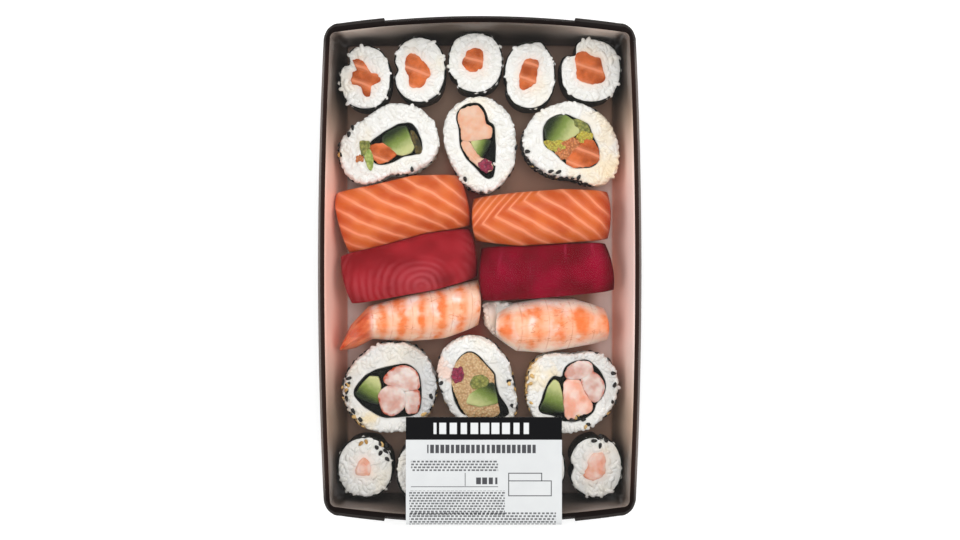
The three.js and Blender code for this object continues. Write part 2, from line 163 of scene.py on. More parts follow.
class Shader(Graph):
    """One material's node tree, written as expressions."""

    def __init__(self, name: str) -> None:
        """Makes an empty material.

        Args:
            name: the material's name.
        """
        self.material = bpy.data.materials.new(name)
        self.material.use_nodes = True
        super().__init__(self.material.node_tree)
        self.tree.nodes.clear()

    def value(self, kind: str, settings: dict, sockets: dict, output: str | int = 0) -> Value:
        """Adds a node and wraps one of its outputs."""
        return Value(self, self.node(kind, settings, sockets).outputs[output])

    def math(self, operation: str, *inputs: Value | float) -> Value:
        """Adds a Math node."""
        return self.value("ShaderNodeMath", {"operation": operation}, dict(enumerate(inputs)))

    def place(self) -> NodeSocket:
        """The point on the piece, in metres in the row's frame."""
        return self.node("ShaderNodeTexCoord").outputs["Object"]

    def uv(self) -> NodeSocket:
        """The piece's own surface coordinates."""
        return self.node("ShaderNodeTexCoord").outputs["UV"]

    def axis(self, vector: NodeSocket, index: int) -> Value:
        """One part of a vector."""
        return self.value("ShaderNodeSeparateXYZ", {}, {0: vector}, index)

    def spot(self) -> list[Value]:
        """The point on the piece, as x, y and z in millimetres."""
        return [self.axis(self.place(), i) * 1000 for i in range(3)]

    def attribute(self, name: str) -> Value:
        """A number stored on the mesh."""
        return self.value("ShaderNodeAttribute", {"attribute_name": name}, {}, "Fac")

    def stretched(self, vector: NodeSocket, scale: Point) -> NodeSocket:
        """A vector with its axes scaled."""
        sockets = {0: vector, "Scale": scale}
        return self.node("ShaderNodeMapping", {"vector_type": "POINT"}, sockets).outputs[0]

    def noise(self, scale: float, detail: float = 2.0, stretch: Point | None = None) -> Value:
        """Soft noise, with features about 1 / scale metres across, stretched where asked.

        Args:
            scale: how many features lie in a metre.
            detail: how many finer layers are added.
            stretch: scales of the three axes, or None.

        Returns:
            The noise, mostly between 0.3 and 0.7.
        """
        place = self.stretched(self.place(), stretch) if stretch else self.place()
        sockets = {"Vector": place, "Scale": scale, "Detail": detail}
        return self.value("ShaderNodeTexNoise", {"noise_dimensions": "3D"}, sockets, "Fac")

    def cells(self, scale: float) -> Value:
        """Distance from the middles of cells about 1 / scale metres across."""
        sockets = {"Vector": self.place(), "Scale": scale}
        return self.value("ShaderNodeTexVoronoi", {"feature": "F1"}, sockets, "Distance")

    def mix(self, mask: Value | float, low: object, high: object) -> NodeSocket:
        """Blends two colours.

        Args:
            mask: 0 gives the first colour and 1 the second.
            low: first colour, as hexadecimal digits or a socket.
            high: second colour.

        Returns:
            The colour's socket.
        """
        ends = [colour(c) if isinstance(c, str) else c for c in (low, high)]
        settings = {"data_type": "RGBA", "clamp_factor": True}
        return self.node("ShaderNodeMix", settings, {0: mask, 6: ends[0], 7: ends[1]}).outputs[2]

    def bump(self, height: Value, depth_mm: float) -> NodeSocket:
        """A surface relief of a depth in millimetres."""
        sockets = {"Height": height, "Distance": depth_mm * MM, "Strength": 1.0}
        return self.node("ShaderNodeBump", {}, sockets).outputs[0]

    def surface(self, base: object, roughness: Value | float, **extra: object) -> Material:
        """Ends the tree in a Principled surface.

        Args:
            base: the colour, as hexadecimal digits or a socket.
            roughness: a number or a value.
            extra: other inputs, by name with spaces as underscores.

        Returns:
            The finished material.
        """
        sockets = {"Base Color": colour(base) if isinstance(base, str) else base, "Roughness": roughness}
        sockets.update({key.replace("_", " "): value for key, value in extra.items()})
        shader = self.node("ShaderNodeBsdfPrincipled", {}, sockets)
        output = self.node("ShaderNodeOutputMaterial")
        self.tree.links.new(shader.outputs[0], output.inputs[0])
        return self.material


# ---- Finishes --------------------------------------------------------


def soft_light(weight: float, scale: float = 2.0, radius: Point = (1.0, 0.35, 0.2)) -> dict[str, object]:
    """Principled inputs for the light that soft food lets through, to a depth in millimetres."""
    return {"Subsurface_Weight": weight, "Subsurface_Radius": radius, "Subsurface_Scale": scale * MM}


@dataclass(frozen=True)
class BoardFinish:
    """Coated paperboard of one colour, with a fine felt-like grain under the coating.

    end_shade darkens it towards the tray's ends as painted shade.
    """

    name: str
    dark: str
    light: str
    roughness: float = 0.42
    gloss: float = 0.3
    end_shade: float = 0.0

    def build(self) -> Material:
        """Builds the finish.

        Returns:
            The material.
        """
        s = Shader(self.name)
        grain = s.noise(900, 3)
        mottle = s.noise(45, 2)
        tone = s.mix(mottle * 0.6 + grain * 0.25, self.light, self.dark)
        # Painted shade: the board darkens towards the tray's ends.
        ends = s.axis(s.place(), 1).size().rise(92 * MM, 112 * MM) * self.end_shade
        return s.surface(s.mix(ends, tone, "060404"), grain * 0.12 + (self.roughness - 0.06),
                         Normal=s.bump(grain, 0.03), Specular_IOR_Level=self.gloss)


@dataclass(frozen=True)
class LiningFinish:
    """The board's inner face, a taupe floor and walls whose colour is largely painted light and shade.

    Painted light and shade on the walls: they pale towards the rim and darken low down, the left wall is
    darker than the right, the side walls darken towards the tray's ends, and the end walls are lighter at the
    back and darker in their middles and low down. The floor is painted darker towards the tray's ends. A pink
    glow of light bounced from the fish is painted on the walls and floor beside it, and a red one between the
    nigiri. Places are in millimetres; fish is the stretch along the tray where that glow is painted.
    """

    name: str = "board_lining"
    floor: str = "B08C76"
    floor_end: str = "6E5D55"
    side: str = "CFB39E"
    side_left: str = "AC9280"
    side_low: str = "9A7E6A"
    # Pale pink glow of light bounced from the fish, painted on walls and floor.
    blush: str = "FFE6DE"
    blush_left: str = "FFD0C0"
    blush_low: str = "FFB09A"
    floor_blush: str = "B47C66"
    # Red glow of the fish, painted on the floor between the nigiri.
    gap: str = "B42C10"
    end: str = "7C7069"
    end_back: str = "CABDB2"
    end_middle: str = "62584F"
    corner: str = "7A6F68"
    corner_low: str = "362F2A"
    end_low: str = "453C38"
    floor_half: Flat = (64.7, 109.8)
    fish: Flat = (-46.0, 50.0)
    height: float = 40.0

    def build(self) -> Material:
        """Builds the finish.

        Returns:
            The material.
        """
        s = Shader(self.name)
        x, y, z = s.spot()
        grain = s.noise(900, 3)
        mottle = s.noise(40, 2)
        # Painted light and shade: the walls paler towards the rim and darker low down.
        up = (z / self.height + (mottle - 0.5) * 0.35).rise(0.02, 0.95)
        # Where a pink glow of light bounced from the fish is painted.
        beside = y.rise(self.fish[0] - 26, self.fish[0] + 16) * y.rise(self.fish[1] + 28, self.fish[1] - 14)
        # Painted light and shade: the right wall lighter than the left.
        right = x.rise(-20.0, 20.0)
        side_up = s.mix(right, self.side_left, self.side)
        blush_up = s.mix(right, self.blush_left, self.blush)
        side = s.mix(beside, s.mix(up, self.side_low, side_up), s.mix(up, self.blush_low, blush_up))
        # Painted shade: towards the tray's ends the side walls darken below a lighter top.
        corners = s.math("MAXIMUM", y.rise(62.0, 90.0), y.rise(-74.0, -92.0)) * 0.94
        side = s.mix(corners, side, s.mix(up.rise(0.88, 1.02), self.corner_low, self.corner))
        longer = self.floor_half[1] - self.floor_half[0]
        # Painted light and shade on the end walls: the back one lighter, their middles and low parts darker.
        at_end = (y.size() - x.size()).rise(longer - 1.0, longer + 3.0)
        end_tone = s.mix(y.rise(-20.0, 20.0), self.end, self.end_back)
        end_up = s.mix(x.size().rise(24.0, 58.0), self.end_middle, end_tone)
        wall = s.mix(at_end, side, s.mix(up, self.end_low, end_up))
        # Painted glow of light bounced from the fish, on the floor beside it.
        warm_floor = s.mix(beside * 0.6, self.floor, self.floor_blush)
        # Painted red glow of the fish on the floor between the two nigiri columns.
        gap = (x + 6.0).size().rise(14.0, 3.0) * beside
        between = s.mix(gap * 0.85, warm_floor, self.gap)
        # Painted light: the floor by the side walls beside the fish lifted to the pale glow.
        near = s.mix(x.size().rise(52.0, 60.0) * beside, between, self.blush)
        # Painted shade: the floor darker towards the tray's ends.
        ends = s.math("MAXIMUM", y.rise(-80.0, -104.0), y.rise(100.0, 112.0) * 0.5)
        floor = s.mix(ends, near, self.floor_end)
        base = s.mix(z.rise(2.2, 1.0), wall, s.mix(mottle.rise(0.3, 0.7) * 0.25, floor, self.floor_end))
        return s.surface(base, grain * 0.12 + 0.34, Normal=s.bump(grain, 0.03))


@dataclass(frozen=True)
class FilmFinish:
    """Clear lidding film that barely shows, with painted glints along its creases.

    Near its corners the white film turns more opaque along crease lines, standing in for light that they
    catch.
    """

    name: str = "lidding_film"
    clear: float = 0.005
    creased: float = 0.04

    def build(self) -> Material:
        """Builds the finish.

        Returns:
            The material.
        """
        s = Shader(self.name)
        crease = s.attribute("crease")
        ridges = s.noise(260, 3, (1.0, 0.55, 1.0))
        # Painted glints: along its crease lines the white film turns more opaque.
        lines = (ridges - 0.5).size().rise(0.03, 0.0) * crease
        alpha = lines * self.creased + self.clear
        return s.surface("FFFFFF", 0.07, Alpha=alpha, Normal=s.bump(ridges * crease, 0.25), IOR=1.5)


@dataclass(frozen=True)
class LabelFinish:
    """Satin paper printed with plain fields, rules and bars, in millimetres on the label's own face."""

    name: str = "label_print"
    band: float = 10.7
    edge: float = 0.12

    def build(self) -> Material:
        """Builds the finish.

        Returns:
            The material.
        """
        s = Shader(self.name)
        across = s.axis(s.uv(), 0) * LABEL_SPAN
        down = s.axis(s.uv(), 1) * LABEL_SPAN

        def box(left: float, right: float, top: float, bottom: float) -> Value:
            """1 inside a rectangle of the label's face."""
            return self._span(across, left, right) * self._span(down, top, bottom)

        def bars(area: Value, word: float, line: float) -> Value:
            """Rows of bars inside an area."""
            return self._bars(s, across, down, area, word, line)

        frame_box = box(48.1, 68.5, 29.8, 37.2) - box(48.5, 68.1, 30.2, 36.8)
        tab = box(48.1, 64.0, 26.2, 29.9) - box(48.5, 63.6, 26.6, 29.9)
        rules = box(27.7, 28.0, 26.2, 32.4) + box(2.4, 43.3, 32.6, 32.9)
        title = bars(box(10.0, 61.0, 13.0, 17.0), 2.4, 10.0)
        small = bars(box(2.4, 43.3, 20.0, 25.4), 2.0, 1.35)
        price = bars(box(33.0, 43.0, 28.4, 31.6), 2.9, 12.0)
        copy = bars(box(1.6, 46.5, 34.6, 46.0), 1.9, 1.25)
        foot = bars(box(1.6, 70.5, 44.4, 68.0), 2.0, 1.35)
        ink = frame_box + tab + rules + title * 0.92 + price * 0.92 + (small + copy + foot) * 0.8
        paper = s.mix(s.noise(140, 2), "DFE1E1", "D4D6D7")
        printed = s.mix(ink, paper, "25252C")
        top = s.mix(down.rise(self.band + self.edge, self.band - self.edge), printed, "030306")
        band_bars = bars(box(13.0, 57.8, 2.7, 8.0), 4.95, self.band)
        lit = s.mix(band_bars, top, "E2E4E4")
        return s.surface(lit, s.noise(300, 2) * 0.1 + 0.42, Normal=s.bump(s.noise(500, 2), 0.015),
                         Specular_IOR_Level=0.2)

    def _span(self, value: Value, low: float, high: float) -> Value:
        """1 between two values and 0 outside them."""
        return value.rise(low - self.edge, low + self.edge) * value.rise(high + self.edge, high - self.edge)

    @staticmethod
    def _bars(s: Shader, across: Value, down: Value, area: Value, word: float, line: float) -> Value:
        """Rows of short plain bars of uneven lengths, in place of words.

        Args:
            s: the label's tree.
            across: millimetres from the label's left edge.
            down: millimetres from its back edge.
            area: the mask that the bars fill.
            word: the longest bar's length.
            line: the rows' spacing.

        Returns:
            The bars' mask.
        """
        row = s.math("FLOOR", down / line)
        shifted = across / word + row * 0.37
        cell = s.node("ShaderNodeCombineXYZ", {}, {0: s.math("FLOOR", shifted), 1: row}).outputs[0]
        chance = s.value("ShaderNodeTexWhiteNoise", {"noise_dimensions": "2D"}, {"Vector": cell}, "Value")
        drawn = (shifted.from_whole() - chance * 0.14).rise(0.06, 0.1)
        high = (down / line).from_whole().rise(0.15, 0.22)
        return area * drawn * high


@dataclass(frozen=True)
class RiceFinish:
    """Cooked short-grain rice: milky, slightly glassy grains, each with its own tone."""

    name: str = "rice_grains"
    light: str = "F7F6F3"
    dark: str = "E6E4DC"
    stain: str = "F8E4BC"
    blush: str = "F7B898"
    shade: str = "989CA4"

    def build(self) -> Material:
        """Builds the finish.

        Returns:
            The material.
        """
        s = Shader(self.name)
        tone = s.attribute("tone")
        cloud = s.noise(600, 2)
        plain = s.mix(tone * 0.7 + cloud * 0.3, self.light, self.dark)
        patches = s.noise(48, 2).rise(0.5, 0.72) * 0.35
        stained = patches + s.attribute("stain") * s.noise(110, 2).rise(0.3, 0.6)
        tinted = s.mix(stained, plain, self.stain)
        # Painted shade: the rice greys where its shade mark says.
        shaded = s.mix(s.attribute("shade") * 0.6, tinted, self.shade)
        base = s.mix(s.attribute("blush"), shaded, self.blush)
        return s.surface(base, cloud * 0.15 + 0.38, Normal=s.bump(s.noise(1400, 2), 0.04),
                         Specular_IOR_Level=0.35, **soft_light(0.1, 0.8, (1.0, 0.92, 0.8)))


@dataclass(frozen=True)
class NoriFinish:
    """Pressed seaweed: near-black green with a fibrous, faintly glossy surface."""

    name: str = "nori_sheet"

    def build(self) -> Material:
        """Builds the finish.

        Returns:
            The material.
        """
        s = Shader(self.name)
        fibre = s.noise(700, 4, (1.0, 1.0, 0.35))
        base = s.mix(fibre.rise(0.35, 0.75), "0B0C0C", "1E2419")
        return s.surface(base, fibre * 0.4 + 0.25, Normal=s.bump(fibre, 0.18), Specular_IOR_Level=0.14)


class Cut(Enum):
    """Which way the fat lines of a fish slice run."""

    SLANTED = "slanted"
    CHEVRON = "chevron"
    STRIP = "strip"


@dataclass(frozen=True)
class SalmonFinish:
    """Raw salmon with pale fat lines that pass through the slice; lengths are in millimetres.

    The slice's far end is darkened towards deep as painted shade.
    """

    name: str
    cut: Cut
    flesh_light: str = "DC6C2E"
    flesh_dark: str = "C9521B"
    fat: str = "F89C72"
    # The slice's far end, in painted shade.
    deep: str = "8E1C04"
    spacing: float = 6.3
    mottle: float = 90.0

    def build(self) -> Material:
        """Builds the finish.

        Returns:
            The material.
        """
        s = Shader(self.name)
        x, y, z = s.spot()
        wander = (s.noise(70, 2) - 0.5) * 2.6
        phase = self._phase(s, x, y) + z * 0.15 + wander
        distance = (phase / self.spacing).from_whole() * self.spacing
        width = s.noise(110, 2) * 0.9 + 0.3
        line = (distance / width).rise(1.0, 0.4)
        glow = (distance / width).rise(3.4, 0.4)
        flesh = s.mix(s.noise(self.mottle, 3).rise(0.3, 0.7), self.flesh_light, self.flesh_dark)
        warm = s.mix(glow * 0.4, flesh, self.fat)
        lined = s.mix(line * 0.8, warm, self.fat)
        # Painted shade: the slice darkens towards deep at its far end.
        base = s.mix(s.attribute("fall") * 0.8, lined, self.deep)
        fibre = s.noise(900, 2)
        relief = line * 0.5 + fibre * 0.5
        return s.surface(base, fibre * 0.12 + 0.34, Normal=s.bump(relief, 0.12), Specular_IOR_Level=0.25,
                         **soft_light(0.3))

    def _phase(self, s: Shader, x: Value, y: Value) -> Value:
        """How many millimetres of the pattern lie before a point.

        Args:
            s: the finish's tree.
            x: the point's place across the tray.
            y: its place along the tray.

        Returns:
            The distance.
        """
        if self.cut is Cut.SLANTED:
            bend = s.math("MAXIMUM", x + 27.0, 0.0)
            return (y + (x + 65.0) * 0.42 + bend * bend * 0.012) * 0.9 - 41.4
        if self.cut is Cut.CHEVRON:
            bend = s.math("MAXIMUM", x - 40.0, 0.0)
            lower = x * 0.49 + y * 0.87 + bend * bend * 0.012
            upper = x * 1.75 - y * 1.39 + 47.5
            return s.math("SMOOTH_MIN", lower, upper, 1.5) - 30.5
        return x * 0.35 + y * 0.94


@dataclass(frozen=True)
class TunaFinish:
    """Raw tuna: deep red, with faint growth arcs, darker patches and a soft bloom; lengths in millimetres.

    The slice's far end is darkened further as painted shade.
    """

    name: str
    light: str
    dark: str
    deep: str
    centre: Flat = (-28.0, -8.0)
    spacing: float = 3.5
    contrast: float = 0.36
    flat: float = 1.2
    sinew: float = 0.0
    pale: str = "C0525A"

    def build(self) -> Material:
        """Builds the finish.

        Returns:
            The material.
        """
        s = Shader(self.name)
        x = s.axis(s.place(), 0) * 1000 - self.centre[0]
        y = (s.axis(s.place(), 1) * 1000 - self.centre[1]) * self.flat
        radius = s.math("SQRT", x * x + y * y) + (s.noise(55, 2) - 0.5) * 5
        arcs = (radius / self.spacing).from_whole().rise(0.5, 0.05) * s.noise(38, 2).rise(0.42, 0.62)
        bloom = radius.rise(18.0, 0.0) * 0.3
        sinews = ((x * 0.92 - y * 0.39 + (s.noise(40, 2) - 0.5) * 9) / 13.7).from_whole().rise(0.09, 0.0)
        streaks = sinews * s.noise(44, 1).rise(0.4, 0.6) * self.sinew
        meat = s.mix(s.noise(60, 3).rise(0.3, 0.7), self.dark, self.light)
        base = s.mix(arcs * self.contrast + bloom + streaks, meat, self.pale)
        # Darker patches at random, and painted shade at the slice's far end.
        patched = s.mix(s.noise(52, 1).rise(0.56, 0.7) * 0.5 + s.attribute("fall") * 0.85, base, self.deep)
        fibre = s.noise(800, 2)
        return s.surface(patched, fibre * 0.12 + 0.46, Normal=s.bump(arcs * 0.4 + fibre * 0.6, 0.08),
                         Specular_IOR_Level=0.03, **soft_light(0.2, 1.6, (1.0, 0.25, 0.2)))


@dataclass(frozen=True)
class ShrimpFinish:
    """Cooked shrimp: blotched orange on pale flesh, denser along each segment, with a redder tail."""

    name: str
    orange: float = 0.0
    striped: float = 0.7
    pale_edge: float = 0.3

    def build(self) -> Material:
        """Builds the finish.

        Returns:
            The material.
        """
        s = Shader(self.name)
        band, edge, tail = (s.attribute(key) for key in ("segment", "edge", "tail"))
        speckle = s.noise(420, 3)
        blotch = s.noise(165, 2, (1.0, 0.55, 1.0))
        streak = s.noise(210, 3, (0.3, 1.0, 1.0))
        wide = s.noise(110, 3)
        stripe = (((band + (wide - 0.5) * 0.9) * math.pi * 2 + math.pi / 2).sine() * 0.5 + 0.5) ** 1.4
        mottled = wide * 1.1 + blotch * 0.8 + streak * 0.6
        cover = (stripe * self.striped + mottled - edge * self.pale_edge + self.orange).rise(1.0, 2.1)
        pale = s.noise(140, 2, (1.0, 0.6, 1.0)).rise(0.5, 0.66) * 0.75
        flesh = s.mix(s.math("MAXIMUM", edge * self.pale_edge, pale), "FFD2B6", "FFF2EC")
        body = s.mix(cover, flesh, "F98C4A")
        deep = s.mix((speckle * 0.5 + cover * 0.6 + streak * 0.3).rise(0.78, 1.05) * 0.7, body, "EE7434")
        seam = (band + 0.5).from_whole().rise(0.045, 0.0) * s.noise(240, 2).rise(0.35, 0.6)
        veins = (streak - 0.5).size().rise(0.012, 0.0) * s.noise(90, 2).rise(0.4, 0.6)
        veined = s.mix(veins * 0.6 + seam * 0.35, deep, "C8602C")
        rays = s.mix(streak.rise(0.35, 0.65), "E8804E", "C4421A")
        base = s.mix(tail.rise(0.1, 0.9) * 0.85, veined, rays)
        relief = speckle * 0.5 + stripe * 0.5
        return s.surface(base, speckle * 0.15 + 0.32, Normal=s.bump(relief, 0.2), Specular_IOR_Level=0.3,
                         **soft_light(0.3))


@dataclass(frozen=True)
class CrabFinish:
    """Flaked crab or shrimp meat in a roll: white and pink strands with orange-red skin marks."""

    name: str
    white: str = "FBE6DC"
    pink: str = "F6B59E"
    red: str = "EE7F52"
    redness: float = 0.5
    edging: float = 0.4

    def build(self) -> Material:
        """Builds the finish.

        Returns:
            The material.
        """
        s = Shader(self.name)
        strands = s.noise(330, 3)
        cloud = s.noise(150, 2)
        base = s.mix(cloud.rise(0.35, 0.65), self.white, self.pink)
        rim = s.attribute("rim")
        edge = (rim + (strands - 0.5) * 0.7).rise(0.82, 1.1) * s.noise(75, 1).rise(0.42, 0.6) * self.edging
        patches = (strands * 0.6 + cloud * 0.6).rise(0.68, 0.86) * self.redness
        marked = s.mix(s.math("MAXIMUM", edge, patches), base, self.red)
        folds = (rim * 2.5 + cloud * 1.5).from_whole() * 0.6 + strands * 0.4
        return s.surface(marked, strands * 0.2 + 0.34, Normal=s.bump(folds, 0.5), Specular_IOR_Level=0.3,
                         **soft_light(0.3))


@dataclass(frozen=True)
class CucumberFinish:
    """Cucumber: pale wet flesh that greens towards a dark skin."""

    name: str = "cucumber_cut"
    flesh: str = "C2C588"
    middle: str = "768A3C"
    skin: str = "182606"

    def build(self) -> Material:
        """Builds the finish.

        Returns:
            The material.
        """
        s = Shader(self.name)
        rind = s.attribute("rind")
        speck = s.noise(520, 2)
        inner = s.mix((rind + (speck - 0.5) * 0.25).rise(0.1, 0.6), self.flesh, self.middle)
        base = s.mix((rind + (speck - 0.5) * 0.12).rise(0.48, 0.92), inner, self.skin)
        return s.surface(base, speck * 0.12 + 0.24, Normal=s.bump(s.noise(700, 2), 0.1),
                         Specular_IOR_Level=0.35, **soft_light(0.2, 1.5, (0.6, 1.0, 0.3)))


@dataclass(frozen=True)
class PasteFinish:
    """A soft filling of fine crumbs, such as tuna salad or a sauce."""

    name: str
    light: str
    dark: str
    crumb: float = 1.1
    depth: float = 0.45
    roughness: float = 0.42

    def build(self) -> Material:
        """Builds the finish.

        Returns:
            The material.
        """
        s = Shader(self.name)
        lumps = s.cells(1 / (self.crumb * MM))
        cloud = s.noise(220, 3)
        base = s.mix((lumps * 0.9 + cloud * 0.4).rise(0.25, 1.0), self.light, self.dark)
        return s.surface(base, cloud * 0.2 + (self.roughness - 0.1), Normal=s.bump(1 - lumps, self.depth),
                         **soft_light(0.3))


@dataclass(frozen=True)
class SeedFinish:
    """Toasted sesame: smooth seeds of one colour with a little variation."""

    name: str
    light: str
    dark: str

    def build(self) -> Material:
        """Builds the finish.

        Returns:
            The material.
        """
        s = Shader(self.name)
        return s.surface(s.mix(s.attribute("tone"), self.light, self.dark), s.noise(900, 1) * 0.1 + 0.3,
                         Normal=s.bump(s.noise(1500, 2), 0.03))


def all_finishes() -> dict[str, Material]:
    """Makes every finish of the part once.

    Returns:
        The materials by name.
    """
    finishes = (
        BoardFinish("board_outside", "0C0B0B", "1B1817", 0.4),
        LiningFinish(),
        BoardFinish("rim_fold", "200E0B", "30201A", 0.45, 0.1, 0.8),
        # Painted sheen: the black flange's outer band, coloured grey as if it caught the light.
        BoardFinish("rim_edge", "5E5551", "7E746F", 0.4, 0.15, 0.85),
        FilmFinish(),
        LabelFinish(),
        BoardFinish("label_back", "DCDCD8", "EDEDEA", 0.6),
        RiceFinish(),
        NoriFinish(),
        SalmonFinish("salmon_strip", Cut.STRIP, "D97038", "A24612", "E8946C", spacing=7.5, mottle=170.0),
        SalmonFinish("salmon_slice_slanted", Cut.SLANTED),
        SalmonFinish("salmon_slice_chevron", Cut.CHEVRON),
        TunaFinish("tuna_slice_light", "A8242E", "820F18", "600810"),
        TunaFinish("tuna_slice_dark", "920228", "680010", "520008", (60.0, 40.0), 12.0, 0.07, 0.35, 0.5,
                   "AC2C4C"),
        ShrimpFinish("shrimp_tailed", 0.13, 0.5, 0.3),
        ShrimpFinish("shrimp_cut", 0.28, 0.32, 0.75),
        CrabFinish("crab_filling", "F3D2C4", "EBA88F", "DD6A3A", 0.5, 0.35),
        CrabFinish("crab_salad", "E4C0A8", "E2A888", "D8804F", 0.3, 0.25),
        CrabFinish("shrimp_filling", "E2D2CA", "CE9E90", "B84216", 0.16, 1.0),
        CucumberFinish(),
        PasteFinish("tuna_salad", "D8B88C", "B28A5A"),
        PasteFinish("mustard_sauce", "CABE42", "98852A", 0.8, 0.3, 0.3),
        PasteFinish("avocado", "B4C070", "7F9238", 1.6, 0.25, 0.36),
        PasteFinish("olive_pulp", "99994A", "5E6426", 1.4, 0.25, 0.36),
        PasteFinish("dark_leaf", "5E4E14", "2A2406", 1.6, 0.25, 0.36),
        PasteFinish("spiced_salmon", "D98A50", "A35A22", 0.9, 0.35, 0.34),
        PasteFinish("red_pickle", "9C2346", "6E1233", 1.2, 0.3, 0.3),
        SeedFinish("sesame_black", "17130F", "060505"),
        SeedFinish("sesame_white", "DDB877", "B98E4D"),
    )
    return {finish.name: finish.build() for finish in finishes}


# ---- Meshes in millimetres -------------------------------------------


class Draft:
    """Points in millimetres and the faces between them, gathered band by band into one mesh."""

    def __init__(self) -> None:
        """Starts empty."""
        self.points: list[Point] = []
        self.faces: list[tuple[int, ...]] = []
        self.kinds: list[int] = []
        self.marks: dict[str, dict[int, float]] = {}
        self.surface: dict[int, Flat] = {}

    def ring(self, points: Iterable[Point], **marks: float | Sequence[float]) -> list[int]:
        """Adds points and returns their numbers.

        Args:
            points: places in millimetres.
            marks: numbers stored on the points, one for all or one for each.

        Returns:
            The points' numbers, in order.
        """
        start = len(self.points)
        self.points.extend(points)
        numbers = list(range(start, len(self.points)))
        for name, given in marks.items():
            stored = self.marks.setdefault(name, {})
            for i, number in enumerate(numbers):
                stored[number] = given[i] if isinstance(given, (list, tuple)) else given
        return numbers

    def band(self, low: list[int], high: list[int], kind: int = 0, closed: bool = True) -> None:
        """Joins two rings or rows of equally many points with four-sided faces.

        Args:
            low: the first ring's points.
            high: the second ring's.
            kind: which of the piece's materials the faces take.
            closed: whether the last point joins the first.
        """
        count = len(low)
        for i in range(count if closed else count - 1):
            j = (i + 1) % count
            self.faces.append((low[i], low[j], high[j], high[i]))
            self.kinds.append(kind)

    def skin(self, rings: Sequence[list[int]]) -> None:
        """Joins each ring to the next one."""
        for low, high in zip(rings, rings[1:]):
            self.band(low, high)

    def cap(self, ring: list[int], kind: int = 0, flipped: bool = False, hub: Point | None = None) -> None:
        """Closes a ring with a fan.

        Args:
            ring: the ring's points.
            kind: which of the piece's materials the faces take.
            flipped: whether the faces look back along the rings.
            hub: the fan's middle, or None for the ring's own.
        """
        middle = [sum(self.points[n][axis] for n in ring) / len(ring) for axis in range(3)]
        number = len(self.points)
        self.points.append(hub or (middle[0], middle[1], middle[2]))
        for stored in self.marks.values():
            known = [stored[n] for n in ring if n in stored]
            if known:
                stored[number] = sum(known) / len(known)
        for here, after in zip(ring, ring[1:] + ring[:1]):
            self.faces.append((number, after, here) if flipped else (number, here, after))
            self.kinds.append(kind)

    def make(self, name: str, materials: Sequence[Material], sharp: float | None = 40.0) -> Object:
        """Turns the draft into an object.

        Args:
            name: the object's name.
            materials: one for each kind of face.
            sharp: edges that turn by more degrees than this stay crisp; None smooths them all.

        Returns:
            The object, linked to the scene.
        """
        mesh = bpy.data.meshes.new(name)
        mesh.from_pydata([tuple(c * MM for c in p) for p in self.points], [], self.faces)
        mesh.polygons.foreach_set("material_index", self.kinds)
        mesh.polygons.foreach_set("use_smooth", [True] * len(self.faces))
        for key, stored in self.marks.items():
            layer = mesh.attributes.new(key, "FLOAT", "POINT")
            layer.data.foreach_set("value", [stored.get(i, 0.0) for i in range(len(self.points))])
        if self.surface:
            layer = mesh.uv_layers.new(name="slice")
            for loop in mesh.loops:
                layer.data[loop.index].uv = self.surface.get(loop.vertex_index, (0.0, 0.0))
        for material in materials:
            mesh.materials.append(material)
        mesh.update()
        if sharp is not None:
            mesh.set_sharp_from_angle(angle=math.radians(sharp))
        piece = bpy.data.objects.new(name, mesh)
        bpy.context.scene.collection.objects.link(piece)
        return piece


def plain_copy(piece: Object) -> Object:
    """Replaces an object that has modifiers by one whose mesh is their result.

    Args:
        piece: the object with its modifiers.

    Returns:
        The new object, which keeps the name.
    """
    graph = bpy.context.evaluated_depsgraph_get()
    done = piece.evaluated_get(graph)
    mesh = bpy.data.meshes.new_from_object(done, preserve_all_data_layers=True, depsgraph=graph)
    name = piece.name
    bpy.data.objects.remove(piece)
    mesh.name = name
    made = bpy.data.objects.new(name, mesh)
    bpy.context.scene.collection.objects.link(made)
    return made


def dress(piece: Object, slot: str, *nodes: str) -> None:
    """Gives a finished piece its body, hides the solids that it stands for and logs its slot.

    Args:
        piece: the finished mesh object.
        slot: the record's slot.
        nodes: the solids that it stands for.
    """
    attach(piece, BODY)
    if nodes:
        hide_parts(*nodes)
    faces = len(piece.data.polygons)
    LOG.info("%s: %d faces, slot %s, for %s", piece.name, faces, slot, ", ".join(nodes) or "detail")


def wobble(x: float, y: float, z: float, size: float, seed: float = 0.0) -> float:
    """Smooth noise from -1 to 1 with lumps of a size in millimetres."""
    return noise.noise(Vector((x / size + seed * 7.3, y / size - seed * 3.1, z / size + seed)))


class Solid:
    """Measures a CAD node by casting rays at its faces."""

    FAR = 60.0

    def __init__(self, node: Object) -> None:
        """Reads the mesh.

        Args:
            node: the CAD node.
        """
        corners = [v.co / MM for v in node.data.vertices]
        self.tree = BVHTree.FromPolygons(corners, [tuple(p.vertices) for p in node.data.polygons])
        self.low = Vector([min(c[i] for c in corners) for i in range(3)])
        self.high = Vector([max(c[i] for c in corners) for i in range(3)])

    @property
    def centre(self) -> Flat:
        """The middle of the node's box, seen from above."""
        return (self.low.x + self.high.x) / 2, (self.low.y + self.high.y) / 2

    def radius(self, centre: Flat, angle: float, height: float) -> float:
        """Distance from a centre to the outer face.

        Args:
            centre: the middle, seen from above.
            angle: the direction in radians.
            height: the level in millimetres.

        Returns:
            The distance, or 0 where there is no face.
        """
        out = Vector((math.cos(angle), math.sin(angle), 0.0))
        hit = self.tree.ray_cast(Vector((*centre, height)) + out * self.FAR, -out)
        return self.FAR - hit[3] if hit[0] is not None else 0.0


